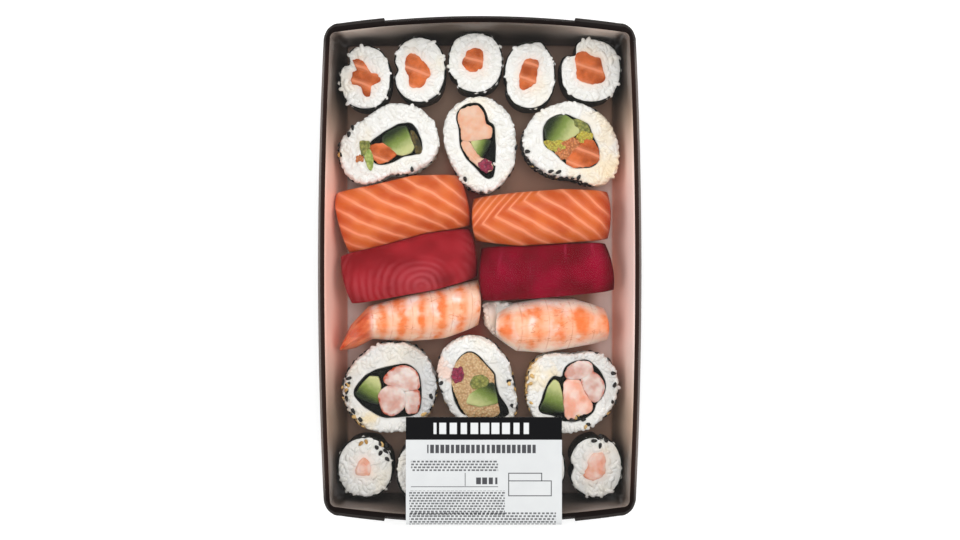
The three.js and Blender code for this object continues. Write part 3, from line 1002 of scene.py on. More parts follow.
class Wall:
    """A roll's outer face: a smooth outline at its foot and one near its top, with straight sides between."""

    COUNT = 96

    def __init__(self, solid: Solid, smoothing: int = 3) -> None:
        """Measures a roll.

        Args:
            solid: the roll's outer solid.
            smoothing: how many times the radii are evened.
        """
        self.centre = solid.centre
        self.low = solid.low.z
        self.high = solid.high.z
        self.rows = [self._row(solid, z, smoothing) for z in (self.low + 0.3, self.high - 1.8)]

    def _row(self, solid: Solid, height: float, smoothing: int) -> list[float]:
        """Radii all round at one height.

        Args:
            solid: the roll's outer solid.
            height: the level in millimetres.
            smoothing: how many times they are evened.

        Returns:
            The radii, anticlockwise from +X.
        """
        row = [solid.radius(self.centre, 2 * math.pi * i / self.COUNT, height) for i in range(self.COUNT)]
        for _ in range(smoothing):
            row = [(row[i - 1] + 2 * row[i] + row[(i + 1) % self.COUNT]) / 4 for i in range(self.COUNT)]
        return row

    def radius(self, angle: float, height: float) -> float:
        """Distance from the centre to the wall.

        Args:
            angle: the direction in radians.
            height: the level in millimetres.

        Returns:
            The distance in millimetres.
        """
        place = (angle / (2 * math.pi) * self.COUNT) % self.COUNT
        i = int(place)
        t = place - i
        share = (height - self.low) / (self.high - self.low)
        ends = [row[i] + (row[(i + 1) % self.COUNT] - row[i]) * t for row in self.rows]
        return ends[0] + (ends[1] - ends[0]) * share

    def point(self, angle: float, height: float, inset: float = 0.0) -> Point:
        """A place on the wall, or inside it by an inset."""
        r = self.radius(angle, height) - inset
        return self.centre[0] + r * math.cos(angle), self.centre[1] + r * math.sin(angle), height


class Loop:
    """A closed outline of a few corners, rounded a little, as a radius about its middle at any angle."""

    def __init__(self, corners: Sequence[Flat], rounding: float) -> None:
        """Finds the outline's middle.

        Args:
            corners: the corners in millimetres.
            rounding: how strongly they are rounded.
        """
        self.sides = list(zip(corners, [*corners[1:], corners[0]]))
        self.rounding = rounding
        area = x_sum = y_sum = 0.0
        for (x0, y0), (x1, y1) in self.sides:
            piece = x0 * y1 - x1 * y0
            area += piece / 2
            x_sum += (x0 + x1) * piece
            y_sum += (y0 + y1) * piece
        self.centre = (x_sum / (6 * area), y_sum / (6 * area))

    def _reach(self, angle: float) -> float:
        """Distance from the middle to the straight sides.

        Args:
            angle: the direction in radians.

        Returns:
            The distance in millimetres.
        """
        dx, dy = math.cos(angle), math.sin(angle)
        best = 0.0
        for (x0, y0), (x1, y1) in self.sides:
            ex, ey = x1 - x0, y1 - y0
            slope = dx * ey - dy * ex
            if abs(slope) < 1e-9:
                continue
            along = ((x0 - self.centre[0]) * ey - (y0 - self.centre[1]) * ex) / slope
            share = ((x0 - self.centre[0]) * dy - (y0 - self.centre[1]) * dx) / slope
            if along > 0 and -1e-6 <= share <= 1 + 1e-6:
                best = max(best, along)
        return best

    def radius(self, angle: float) -> float:
        """Distance from the middle to the rounded outline."""
        spread = self.rounding * 0.25
        return sum(self._reach(angle + k * spread) for k in (-1.0, 0.0, 1.0)) / 3

    def point(self, angle: float, inset: float = 0.0) -> Flat:
        """A place on the outline, or inside it by an inset."""
        r = max(0.2, self.radius(angle) - inset)
        return self.centre[0] + r * math.cos(angle), self.centre[1] + r * math.sin(angle)


def angles(count: int) -> list[float]:
    """Equal steps round a circle."""
    return [2 * math.pi * i / count for i in range(count)]


def mixed(low: float, high: float, share: float) -> float:
    """A number between two others."""
    return low + (high - low) * share


def kept(value: float, low: float = 0.0, high: float = 1.0) -> float:
    """A number kept between two others."""
    return min(high, max(low, value))


def steps(count: int) -> list[float]:
    """Equal steps from 0 to 1."""
    return [i / count for i in range(count + 1)]


def off_by(angle: float, middle: float) -> float:
    """Degrees from a middle in degrees to an angle in radians, from -180 to 180."""
    return (math.degrees(angle) - middle + 180) % 360 - 180


# ---- Scattered grains and seeds --------------------------------------


@dataclass(frozen=True)
class Kernel:
    """A small rounded body, such as a grain of rice or a sesame seed, in millimetres."""

    name: str
    length: float
    width: float
    height: float
    point: float = 0.0
    around: int = 6

    def build(self) -> Object:
        """Makes the body along +X with its thickness on +Z.

        Returns:
            The closed mesh's object.
        """
        draft = Draft()
        half = self.length / 2
        rings = []
        for place in (-0.8, -0.3, 0.35, 0.82):
            girth = math.sqrt(1 - place * place) * (1 - self.point * place)
            rings.append(draft.ring([
                (place * half, math.cos(a) * girth * self.width / 2, math.sin(a) * girth * self.height / 2)
                for a in angles(self.around)
            ]))
        draft.skin(rings)
        draft.cap(rings[0], flipped=True, hub=(-half, 0.0, 0.0))
        draft.cap(rings[-1], hub=(half, 0.0, 0.0))
        return draft.make(self.name, [], None)


class Scatter(Graph):
    """A geometry tree that strews copies of a small body over the masked part of a mesh."""

    INPUTS = (
        ("Geometry", "Geometry"), ("Kernel", "Object"), ("Material", "Material"), ("Mask", "String"),
        ("Spacing", "Float"), ("Sink", "Float"), ("Tilt", "Float"), ("Lowest", "Float"),
        ("Keep Core", "Bool"), ("Seed", "Int"),
    )

    def __init__(self) -> None:
        """Builds the tree."""
        super().__init__(bpy.data.node_groups.new("strewn_kernels", "GeometryNodeTree"))
        face = self.tree.interface
        for name, kind in self.INPUTS:
            face.new_socket(name, in_out="INPUT", socket_type=f"NodeSocket{kind}")
        face.new_socket("Geometry", in_out="OUTPUT", socket_type="NodeSocketGeometry")
        given = self.node("NodeGroupInput").outputs
        mask = self.node("GeometryNodeInputNamedAttribute", {"data_type": "FLOAT"}, {"Name": given["Mask"]})
        spread = self.node("GeometryNodeDistributePointsOnFaces", {"distribute_method": "POISSON"}, {
            "Mesh": given["Geometry"], "Distance Min": given["Spacing"], "Density Max": 2.0e6,
            "Density Factor": mask.outputs["Attribute"], "Seed": given["Seed"],
        })
        depth = self._random("FLOAT", -1.0, -0.3, given["Seed"], 1)
        push = self._vector("SCALE", spread.outputs["Normal"], self._math("MULTIPLY", depth, given["Sink"]))
        points = spread.outputs["Points"]
        sunk = self.node("GeometryNodeSetPosition", {}, {"Geometry": points, "Offset": push})
        shade = self._random("FLOAT", 0.0, 1.0, given["Seed"], 2)
        tone = self.node("GeometryNodeStoreNamedAttribute", {"data_type": "FLOAT", "domain": "POINT"}, {
            "Geometry": sunk.outputs[0], "Name": "tone", "Value": shade,
        })
        turn = self._random("FLOAT_VECTOR", (-1.0, -1.0, -1.0), (1.0, 1.0, 1.0), given["Seed"], 3)
        lean = self.node("ShaderNodeCombineXYZ", {}, {0: given["Tilt"], 1: given["Tilt"], 2: math.pi})
        euler = self._vector("MULTIPLY", turn, lean.outputs[0])
        by = self.node("FunctionNodeEulerToRotation", {}, {0: euler}).outputs[0]
        pose = self.node("FunctionNodeRotateRotation", {"rotation_space": "LOCAL"}, {
            "Rotation": spread.outputs["Rotation"], "Rotate By": by,
        }).outputs[0]
        body = self.node("GeometryNodeObjectInfo", {}, {"Object": given["Kernel"], "As Instance": True})
        size = self._random("FLOAT_VECTOR", (0.82, 0.88, 0.88), (1.1, 1.08, 1.08), given["Seed"], 4)
        here = self.node("GeometryNodeInputPosition").outputs[0]
        level = self.node("ShaderNodeSeparateXYZ", {}, {0: here}).outputs[2]
        strewn = self.node("GeometryNodeInstanceOnPoints", {}, {
            "Points": tone.outputs[0], "Instance": body.outputs["Geometry"], "Rotation": pose, "Scale": size,
            "Selection": self._math("GREATER_THAN", level, given["Lowest"]),
        })
        core = self.node("GeometryNodeSwitch", {"input_type": "GEOMETRY"}, {
            "Switch": given["Keep Core"], "True": given["Geometry"],
        })
        whole = self.node("GeometryNodeRealizeInstances", {}, {0: strewn.outputs[0]})
        joined = self.node("GeometryNodeJoinGeometry", {}, {0: [core.outputs[0], whole.outputs[0]]})
        done = self.node("GeometryNodeSetMaterial", {}, {0: joined.outputs[0], "Material": given["Material"]})
        self.node("NodeGroupOutput", {}, {0: done.outputs[0]})

    def _random(self, kind: str, low: object, high: object, seed: NodeSocket, step: int) -> NodeSocket:
        """Adds a random field.

        Args:
            kind: a number or a vector, by Blender's name.
            low: the least value.
            high: the greatest value.
            seed: the tree's own seed.
            step: how far past it this field's seed lies.

        Returns:
            The field's socket.
        """
        first = 0 if kind == "FLOAT_VECTOR" else 2
        sockets = {first: low, first + 1: high, "Seed": self._math("ADD", seed, float(step))}
        made = self.node("FunctionNodeRandomValue", {"data_type": kind}, sockets)
        return made.outputs[0 if kind == "FLOAT_VECTOR" else 1]

    def _math(self, operation: str, *inputs: object) -> NodeSocket:
        """Adds a Math node."""
        return self.node("ShaderNodeMath", {"operation": operation}, dict(enumerate(inputs))).outputs[0]

    def _vector(self, operation: str, vector: object, other: object) -> NodeSocket:
        """Adds a Vector Math node.

        Args:
            operation: what it does.
            vector: its first input.
            other: its second input.

        Returns:
            The result's socket.
        """
        second = "Scale" if operation == "SCALE" else 1
        sockets = {0: vector, second: other}
        return self.node("ShaderNodeVectorMath", {"operation": operation}, sockets).outputs[0]

    def strew(self, piece: Object, **inputs: object) -> Object:
        """Runs the tree on a mesh and returns the plain result.

        Args:
            piece: the mesh, which is used up.
            inputs: the tree's named inputs, with underscores for spaces.

        Returns:
            The finished mesh object, of the same name.
        """
        modifier = piece.modifiers.new("strewn", "NODES")
        modifier.node_group = self.tree
        given = {key.replace("_", " "): value for key, value in inputs.items()}
        for item in self.tree.interface.items_tree:
            if item.in_out == "INPUT" and item.name in given:
                modifier[item.identifier] = given[item.name]
        return plain_copy(piece)


class Larder:
    """What every piece is made with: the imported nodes, the finishes, the kernels and the scatter tree."""

    SEED_STEP = 40

    def __init__(self, nodes: dict[str, Object]) -> None:
        """Prepares the finishes, the kernels and the tree.

        Args:
            nodes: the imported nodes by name.
        """
        self.nodes = nodes
        self.looks = all_finishes()
        self.scatter = Scatter()
        self.grain = Kernel("grain_kernel", length=4.8, width=2.6, height=2.3, point=0.06, around=8).build()
        self.seed = Kernel("seed_kernel", length=3.1, width=1.9, height=1.0, point=0.28).build()
        self._runs = 0

    def solid(self, node: str) -> Solid:
        """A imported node, ready to be measured."""
        return Solid(self.nodes[node])

    def _next_seed(self) -> int:
        """A seed of its own for each run of the tree."""
        self._runs += 1
        return self.SEED_STEP * self._runs

    def rice(self, draft: Draft, roll: str) -> None:
        """Covers a core with grains where its grain mark says, and dresses the result.

        Args:
            draft: the core.
            roll: the name of the roll or nigiri.
        """
        piece = self.scatter.strew(
            draft.make(f"{roll}_grains", []), Kernel=self.grain, Material=self.looks["rice_grains"],
            Mask="grain", Spacing=1.6 * MM, Sink=1.15 * MM, Tilt=0.2, Lowest=3.3 * MM, Keep_Core=True,
            Seed=self._next_seed(),
        )
        dress(piece, "rice", f"{roll}_rice")

    def seeds(self, bed: Draft, tone: str) -> None:
        """Strews the seeds of one tone over a bed and dresses them as one piece.

        Args:
            bed: the surface, with a mark of the tone's name.
            tone: black or white.
        """
        name = f"sesame_{tone}"
        piece = self.scatter.strew(
            bed.make(name, []), Kernel=self.seed, Material=self.looks[name], Mask=tone, Spacing=2.6 * MM,
            Sink=0.2 * MM, Tilt=0.3, Lowest=2.0 * MM, Keep_Core=False, Seed=self._next_seed(),
        )
        dress(piece, "sesame")

    def clear(self) -> None:
        """Removes the kernels, which only served as patterns."""
        for kernel in (self.grain, self.seed):
            bpy.data.objects.remove(kernel)


# ---- Tray, film and label --------------------------------------------


@dataclass
class Tray:
    """A folded board tray: flared walls that bow a little, a two-toned flange, end tabs, pleated corners.

    The flange's grey outer band is a painted sheen on the black board.
    """

    height: float = 40.0
    board: float = 0.7
    floor_half: Flat = (64.7, 109.8)
    rim_half: Flat = (70.2, 111.4)
    bow: Flat = (2.6, 4.6)
    belly: float = 0.06
    floor_corner: float = 2.0
    rim_corner: float = 3.0
    flange: float = 3.4
    ridge: float = 1.6
    slope: float = 1.3
    edge: float = 0.8
    lip_corner: float = 7.5
    corner_reach: float = 14.0
    tab_from: float = 44.6
    tab_step: float = 1.2
    side_steps: int = 26
    corner_steps: int = 10
    end_steps: int = 14

    def share(self, z: float) -> float:
        """How far the wall has flared at a height, from 0 at the base to 1 at the rim."""
        s = z / self.height
        return s + self.belly * 4 * s * (1 - s)

    def reach(self, z: float, axis: int) -> float:
        """Half the inner size on an axis, through the middle, at a height."""
        s = self.share(z)
        return mixed(self.floor_half[axis], self.rim_half[axis], s) + self.bow[axis] * s

    def ring(self, z: float, grow: float = 0.0, corner: float | None = None, tab: float = 0.0,
             level: float | None = None) -> list[Point]:
        """The wall's inner outline at a height.

        Args:
            z: the height at which the wall is measured.
            grow: how far outside it the ring lies.
            corner: corner radius, or None for the wall's own.
            tab: how far the end tabs stand out.
            level: the height that the points get, or None for z.

        Returns:
            Points all round, anticlockwise from the middle of the +X side.
        """
        s = self.share(z)
        half = [mixed(low, high, s) + grow for low, high in zip(self.floor_half, self.rim_half)]
        bow = [b * s for b in self.bow]
        round_off = mixed(self.floor_corner, self.rim_corner, s) if corner is None else corner
        straight = [h - round_off for h in half]
        quarter = [(half[0] + bow[0] * (1 - t * t), straight[1] * t) for t in steps(self.side_steps)]
        for i in range(1, self.corner_steps + 1):
            a = math.pi / 2 * i / self.corner_steps
            out = straight[0] + round_off * math.cos(a)
            quarter.append((out, straight[1] + (round_off + tab) * math.sin(a)))

        def end_y(x: float, extra: float) -> float:
            """The short end's outline."""
            return half[1] + bow[1] * (1 - (x / straight[0]) ** 2) + extra

        for t in (0.25, 0.5, 0.75):
            x = mixed(straight[0], self.tab_from, t)
            quarter.append((x, end_y(x, tab)))
        quarter.append((self.tab_from + 0.4, end_y(self.tab_from, tab)))
        quarter.append((self.tab_from, end_y(self.tab_from, 0.0)))
        for i in range(1, self.end_steps + 1):
            x = self.tab_from * (1 - i / self.end_steps)
            quarter.append((x, end_y(x, 0.0)))
        back = quarter[::-1]
        flat = quarter[:-1] + [(-x, y) for x, y in back[:-1]]
        flat += [(-x, -y) for x, y in quarter[:-1]] + [(x, -y) for x, y in back[:-1]]
        height = z if level is None else level
        return [(x, y, height) for x, y in flat]

    def held(self, x: float, y: float, z: float, gap: float = 0.45) -> float:
        """Draws a place in where it would touch a long wall.

        Args:
            x: the place across the tray.
            y: the place along it.
            z: its height.
            gap: how far it stays from the wall.

        Returns:
            The place across the tray.
        """
        s = self.share(kept(z, 0.0, self.height))
        bow = self.bow[0] * s * (1 - (y / self.rim_half[1]) ** 2)
        limit = mixed(self.floor_half[0], self.rim_half[0], s) + bow - gap
        return kept(x, -limit, limit)

    def cornered(self, x: float, y: float) -> float:
        """1 at the rim's corners, falling to 0 within their reach."""
        away = math.hypot(*(max(0.0, half - abs(v)) for half, v in zip(self.rim_half, (x, y))))
        return max(0.0, 1 - away / self.corner_reach)

    def _rim(self, points: Iterable[Point], pleat: float) -> list[Point]:
        """Lifts and lowers rim points a little, with pleats that fan out over the corners.

        Args:
            points: the rim's points.
            pleat: the pleats' height.

        Returns:
            The moved points.
        """
        moved = []
        for x, y, z in points:
            turn = math.atan2(abs(y) - self.rim_half[1] + 12, abs(x) - self.rim_half[0] + 12)
            fold = math.sin(turn * 26) * self.cornered(x, y) * pleat
            moved.append((x, y, z + fold + 0.16 * wobble(x, y, z, 26.0, 2.0)))
        return moved

    def build(self, larder: Larder) -> None:
        """Makes the board tray in one closed piece.

        Args:
            larder: the finishes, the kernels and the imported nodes.
        """
        top, board = self.height, self.board
        under = top - self.slope - self.edge
        # The second tone is the flange's outer band, coloured grey as a painted sheen.
        outside, edge_tone, fold_tone, lining = range(4)
        lip = {"corner": self.lip_corner, "tab": self.tab_step}
        fold = {"corner": self.rim_corner + self.ridge + 1.2, "tab": self.tab_step * 0.5}
        stages = [(outside, self.ring(0.0, board - 0.6, tab=board))]
        stages.append((outside, self.ring(0.25, board, tab=board)))
        for i in range(1, 9):
            stages.append((outside, self.ring(mixed(0.25, under - 0.6, i / 8), board, tab=board)))
        stages.append((outside, self.ring(top, board, corner=self.rim_corner + board, level=under + 0.15)))
        for tone, grow, level, pleat, shape in (
            (outside, self.flange - 0.3, under - 0.05, 0.3, lip),
            (edge_tone, self.flange, under + 0.25, 0.3, lip),
            (edge_tone, self.flange, under + self.edge - 0.2, 0.3, lip),
            (edge_tone, self.flange - 0.2, under + self.edge, 0.3, lip),
            (edge_tone, self.ridge + 0.75, top - 0.5, 0.3, fold),
            (fold_tone, self.ridge + 0.1, top - 0.02, 0.22, {"corner": self.rim_corner + self.ridge}),
            (fold_tone, self.ridge * 0.5, top, 0.15, {"corner": self.rim_corner + 0.8}),
            (fold_tone, 0.25, top - 0.02, 0.08, {}),
        ):
            stages.append((tone, self._rim(self.ring(top, grow, level=level, **shape), pleat)))
        stages.append((lining, self.ring(top, level=top - 0.3)))
        for i in range(1, 13):
            stages.append((lining, self.ring(mixed(top - 0.3, board + 1.2, (i / 12) ** 0.9))))
        stages.append((lining, self.ring(board, -0.35, level=board + 0.35)))
        stages.append((lining, self.ring(board, -1.2, level=board)))
        for inset in (8.0, 20.0, 36.0, 52.0):
            scale = (self.floor_half[0] - inset) / self.floor_half[0]
            stages.append((lining, [
                (x * scale, y * mixed(scale, 1.0, 0.35), board + 0.12 * wobble(x, y, 0.0, 30.0))
                for x, y, _ in self.ring(board, -1.2)
            ]))
        draft = Draft()
        rings = [draft.ring(self._dented(points) if kind == lining else points) for kind, points in stages]
        for low, high, (kind, _) in zip(rings, rings[1:], stages[1:]):
            draft.band(low, high, kind)
        draft.cap(rings[0], outside, flipped=True)
        draft.cap(rings[-1], lining)
        looks = [larder.looks[name] for name in ("board_outside", "rim_edge", "rim_fold", "board_lining")]
        piece = draft.make("tray_board", looks, sharp=35.0)
        dress(piece, "tray_board", "tray")

    def _dented(self, points: list[Point]) -> list[Point]:
        """Gives the walls' lining its slight unevenness.

        Args:
            points: a ring of the lining.

        Returns:
            The moved points.
        """
        moved = []
        for x, y, z in points:
            if z > self.board + 1.0:
                push = 0.25 * wobble(x, y, z, 34.0, 5.0)
                x += math.copysign(push, x) if abs(x) > self.floor_half[0] - 3 else 0.0
                y += math.copysign(push, y) if abs(y) > self.floor_half[1] - 3 else 0.0
            moved.append((x, y, z))
        return moved


@dataclass
class LiddingFilm:
    """A clear film sealed to the flange, nearly flat, with short wrinkles at its corners."""

    tray: Tray
    thickness: float = 0.12
    inset: float = 0.9
    corner: float = 6.8
    sealed_half: Flat = (73.0, 116.0)
    rows: int = 26

    def height(self, x: float, y: float) -> float:
        """The film's lower face over the tray's opening."""
        across, along = (max(0.0, 1 - (v / half) ** 2) for v, half in zip((x, y), self.sealed_half))
        return self.tray.height + 0.1 + 0.3 * min(1.0, across * along * 6)

    def build(self, larder: Larder) -> None:
        """Makes the film as a closed thin sheet.

        Args:
            larder: the finishes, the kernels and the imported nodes.
        """
        tray = self.tray
        seal = tray.ring(tray.height, tray.flange - self.inset, corner=self.corner)
        draft = Draft()
        sheets: list[list[list[int]]] = []
        for lift in (0.0, self.thickness):
            rings = []
            for i, step in enumerate(steps(self.rows)):
                scale = 1 - step**0.75 * 0.985
                points, marks = [], []
                for x, y, _ in seal:
                    px, py = x * scale, y * scale
                    over = max(0.0, abs(px) - abs(x) + tray.flange - tray.ridge)
                    drop = -0.6 * min(1.0, over / 1.6) if i < 3 else 0.0
                    crease = tray.cornered(px, py)
                    fold = 0.1 * crease * math.sin(math.atan2(y, x) * 90)
                    fold += 0.05 * wobble(px, py, 0.0, 17.0, 9.0)
                    points.append((px, py, self.height(px, py) + drop + fold + lift))
                    marks.append(min(1.0, 0.02 + crease * 1.2))
                rings.append(draft.ring(points, crease=marks))
            sheets.append(rings)
        low, high = sheets
        draft.skin(high)
        for inner, outer in zip(low[1:], low):
            draft.band(inner, outer)
        draft.band(low[0], high[0])
        draft.cap(high[-1])
        draft.cap(low[-1], flipped=True)
        dress(draft.make("film_sheet", [larder.looks["lidding_film"]], None), "lidding_film", "lidding_film")


@dataclass
class PaperLabel:
    """A paper label that lies on the film, bends over the front rim and runs down the wall."""

    tray: Tray
    left: float = -34.7
    right: float = 38.6
    back: float = -69.3
    edge: float = -120.0
    drop: float = 2.5
    flap: float = 20.0
    bend: Flat = (2.6, 1.6)
    thickness: float = 0.22
    columns: int = 30

    def section(self) -> list[Flat]:
        """Draws the outer face's line, from the back edge to the foot of the flap.

        Returns:
            Points in (y, z).
        """
        top = self.tray.height + 0.75
        start = self.edge + self.bend[0]
        line = [(mixed(self.back, start, t), top) for t in steps(18)]
        for t in steps(6)[1:]:
            a = math.pi / 2 * t
            line.append((start - self.bend[0] * math.sin(a), top - self.bend[1] + self.bend[1] * math.cos(a)))
        knee, foot = self.tray.height - self.drop, self.tray.height - self.flap
        foot_y = -(self.tray.reach(foot, 1) + self.tray.board + 0.55)
        line += [(mixed(self.edge, foot_y, t), mixed(knee, foot, t)) for t in steps(8)]
        return line

    def build(self, larder: Larder) -> None:
        """Makes the label with its printed outer face and a plain back.

        Args:
            larder: the finishes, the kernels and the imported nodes.
        """
        line = self.section()
        draft = Draft()
        faces: list[list[list[int]]] = []
        for depth in (0.0, self.thickness):
            rows = []
            run = 0.0
            for i, (y, z) in enumerate(line):
                before, after = line[max(0, i - 1)], line[min(len(line) - 1, i + 1)]
                run += math.dist(line[i - 1], (y, z)) if i else 0.0
                slope = math.atan2(after[1] - before[1], after[0] - before[0])
                ny, nz = math.sin(slope), -math.cos(slope)
                points = []
                for t in steps(self.columns):
                    x = mixed(self.left, self.right, t)
                    lift = 0.07 * wobble(x, y, z, 22.0, 3.0) + 0.1 * abs(2 * t - 1) ** 8
                    points.append((x, y + ny * (lift - depth), z + nz * (lift - depth)))
                row = draft.ring(points)
                for number, point in zip(row, points):
                    draft.surface[number] = ((point[0] - self.left) / LABEL_SPAN, run / LABEL_SPAN)
                rows.append(row)
            faces.append(rows)
        outer, inner = faces
        for a, b in zip(outer, outer[1:]):
            draft.band(b, a, 0, closed=False)
        near, far = ([[row[end] for row in rows] for rows in faces] for end in (0, -1))
        for a, b in (*zip(inner, inner[1:]), near, far[::-1], (outer[0], inner[0]), (inner[-1], outer[-1])):
            draft.band(a, b, 1, closed=False)
        looks = [larder.looks[name] for name in ("label_print", "label_back")]
        piece = draft.make("label_sheet", looks, sharp=50.0)
        dress(piece, "label_paper", "label")


# ---- Rolls -----------------------------------------------------------


class Food(Enum):
    """A filling: its finish, the record's slot for it, and how ragged its cut edge is in millimetres."""

    SALMON = ("salmon_strip", "salmon", 0.45)
    CRAB = ("crab_filling", "crab", 0.5)
    CRAB_SALAD = ("crab_salad", "mixed_filling", 0.6)
    SHRIMP = ("shrimp_filling", "shrimp", 0.3)
    CUCUMBER = ("cucumber_cut", "cucumber", 0.0)
    TUNA_SALAD = ("tuna_salad", "tuna_salad", 0.3)
    SAUCE = ("mustard_sauce", "mixed_filling", 0.6)
    AVOCADO = ("avocado", "mixed_filling", 0.3)
    OLIVE = ("olive_pulp", "mixed_filling", 0.3)
    LEAF = ("dark_leaf", "mixed_filling", 0.2)
    SPICED = ("spiced_salmon", "mixed_filling", 0.7)
    PICKLE = ("red_pickle", "mixed_filling", 0.6)

    def __init__(self, look: str, slot: str, ragged: float) -> None:
        """Gives the three parts of a value their names.

        Args:
            look: the finish's name.
            slot: the record's slot.
            ragged: how ragged the cut edge is.
        """
        self.look = look
        self.slot = slot
        self.ragged = ragged


@dataclass(frozen=True)
class Strip:
    """A strip of filling that runs up through a roll, by the corners of its cut end in millimetres."""

    name: str
    food: Food
    corners: tuple[Flat, ...]
    skin: float = 0.0
    proud: float = 0.1
    rough: float = 0.15
    rounding: float = 0.5

    AROUND = 64

    def build(self, larder: Larder, prefix: str, foot: float, top: float, swell: float, *nodes: str) -> None:
        """Makes the strip.

        Args:
            larder: finishes and nodes.
            prefix: the roll's name.
            foot: height of its lower end.
            top: height of the rice's cut face.
            swell: how far it bulges past its corners.
            nodes: the solids that it stands for.
        """
        loop = Loop(self.corners, self.rounding)
        around = angles(self.AROUND)
        turn = math.radians(self.skin)
        reach = max(loop.radius(a) * math.cos(a - turn) for a in around)
        back = max(-loop.radius(a) * math.cos(a - turn) for a in around)
        crown = top + self.proud
        draft = Draft()
        levels = [(0.0, foot, 1.0), (0.0, mixed(foot, top, 0.5), 1.0), (0.0, crown - 1.0, 1.0),
                  (0.08, crown - 0.4, 1.0), (0.3, crown - 0.12, 1.0)]
        levels += [(0.3, crown, scale) for scale in (0.88, 0.74, 0.58, 0.4, 0.2)]
        rings = []
        for inset, z, scale in levels:
            points, rinds = [], []
            for a in around:
                x, y = loop.point(a, inset - swell)
                x, y = loop.point(a, inset - swell + self.food.ragged * wobble(x, y, 0.0, 1.5, 12.0))
                x, y = mixed(loop.centre[0], x, scale), mixed(loop.centre[1], y, scale)
                near = (x - loop.centre[0]) * math.cos(turn) + (y - loop.centre[1]) * math.sin(turn)
                uneven = self.rough * wobble(x, y, z * 0.2, 2.4, 4.0) if z > crown - 2 else 0.0
                points.append((x, y, z + uneven))
                rinds.append(kept((near + back) / (reach + back)))
            rings.append(draft.ring(points, rind=rinds, rim=scale))
        draft.skin(rings)
        draft.cap(rings[-1])
        draft.cap(rings[0], flipped=True)
        piece = draft.make(f"{prefix}_{self.name}", [larder.looks[self.food.look]], sharp=60.0)
        dress(piece, self.food.slot, *nodes)


def cut_ring(edge: list[Point], core: list[Flat], share: float, level: float,
             lump: Flat) -> tuple[list[Point], list[float]]:
    """Places a ring on the cut face of the rice.

    Args:
        edge: the face's outer edge.
        core: its inner edge.
        share: how far the ring lies from the outer to the inner edge.
        level: its height.
        lump: height and width of its lumps.

    Returns:
        The ring's points and how far each lies from the inner edge.
    """
    points, far = [], []
    for (ex, ey, _), (cx, cy) in zip(edge, core):
        x, y = mixed(ex, cx, share), mixed(ey, cy, share)
        points.append((x, y, level + lump[0] * wobble(x, y, 0.0, lump[1], 6.0)))
        far.append(math.hypot(cx - x, cy - y))
    return points, far


@dataclass(frozen=True)
class Notch:
    """A place where a roll's seam draws its outline in; the angle and width are in degrees."""

    angle: float
    depth: float
    width: float

    def inset(self, angle: float) -> float:
        """How far the outline is drawn in at an angle in radians."""
        return self.depth * math.exp(-((off_by(angle, self.angle) / self.width) ** 2))


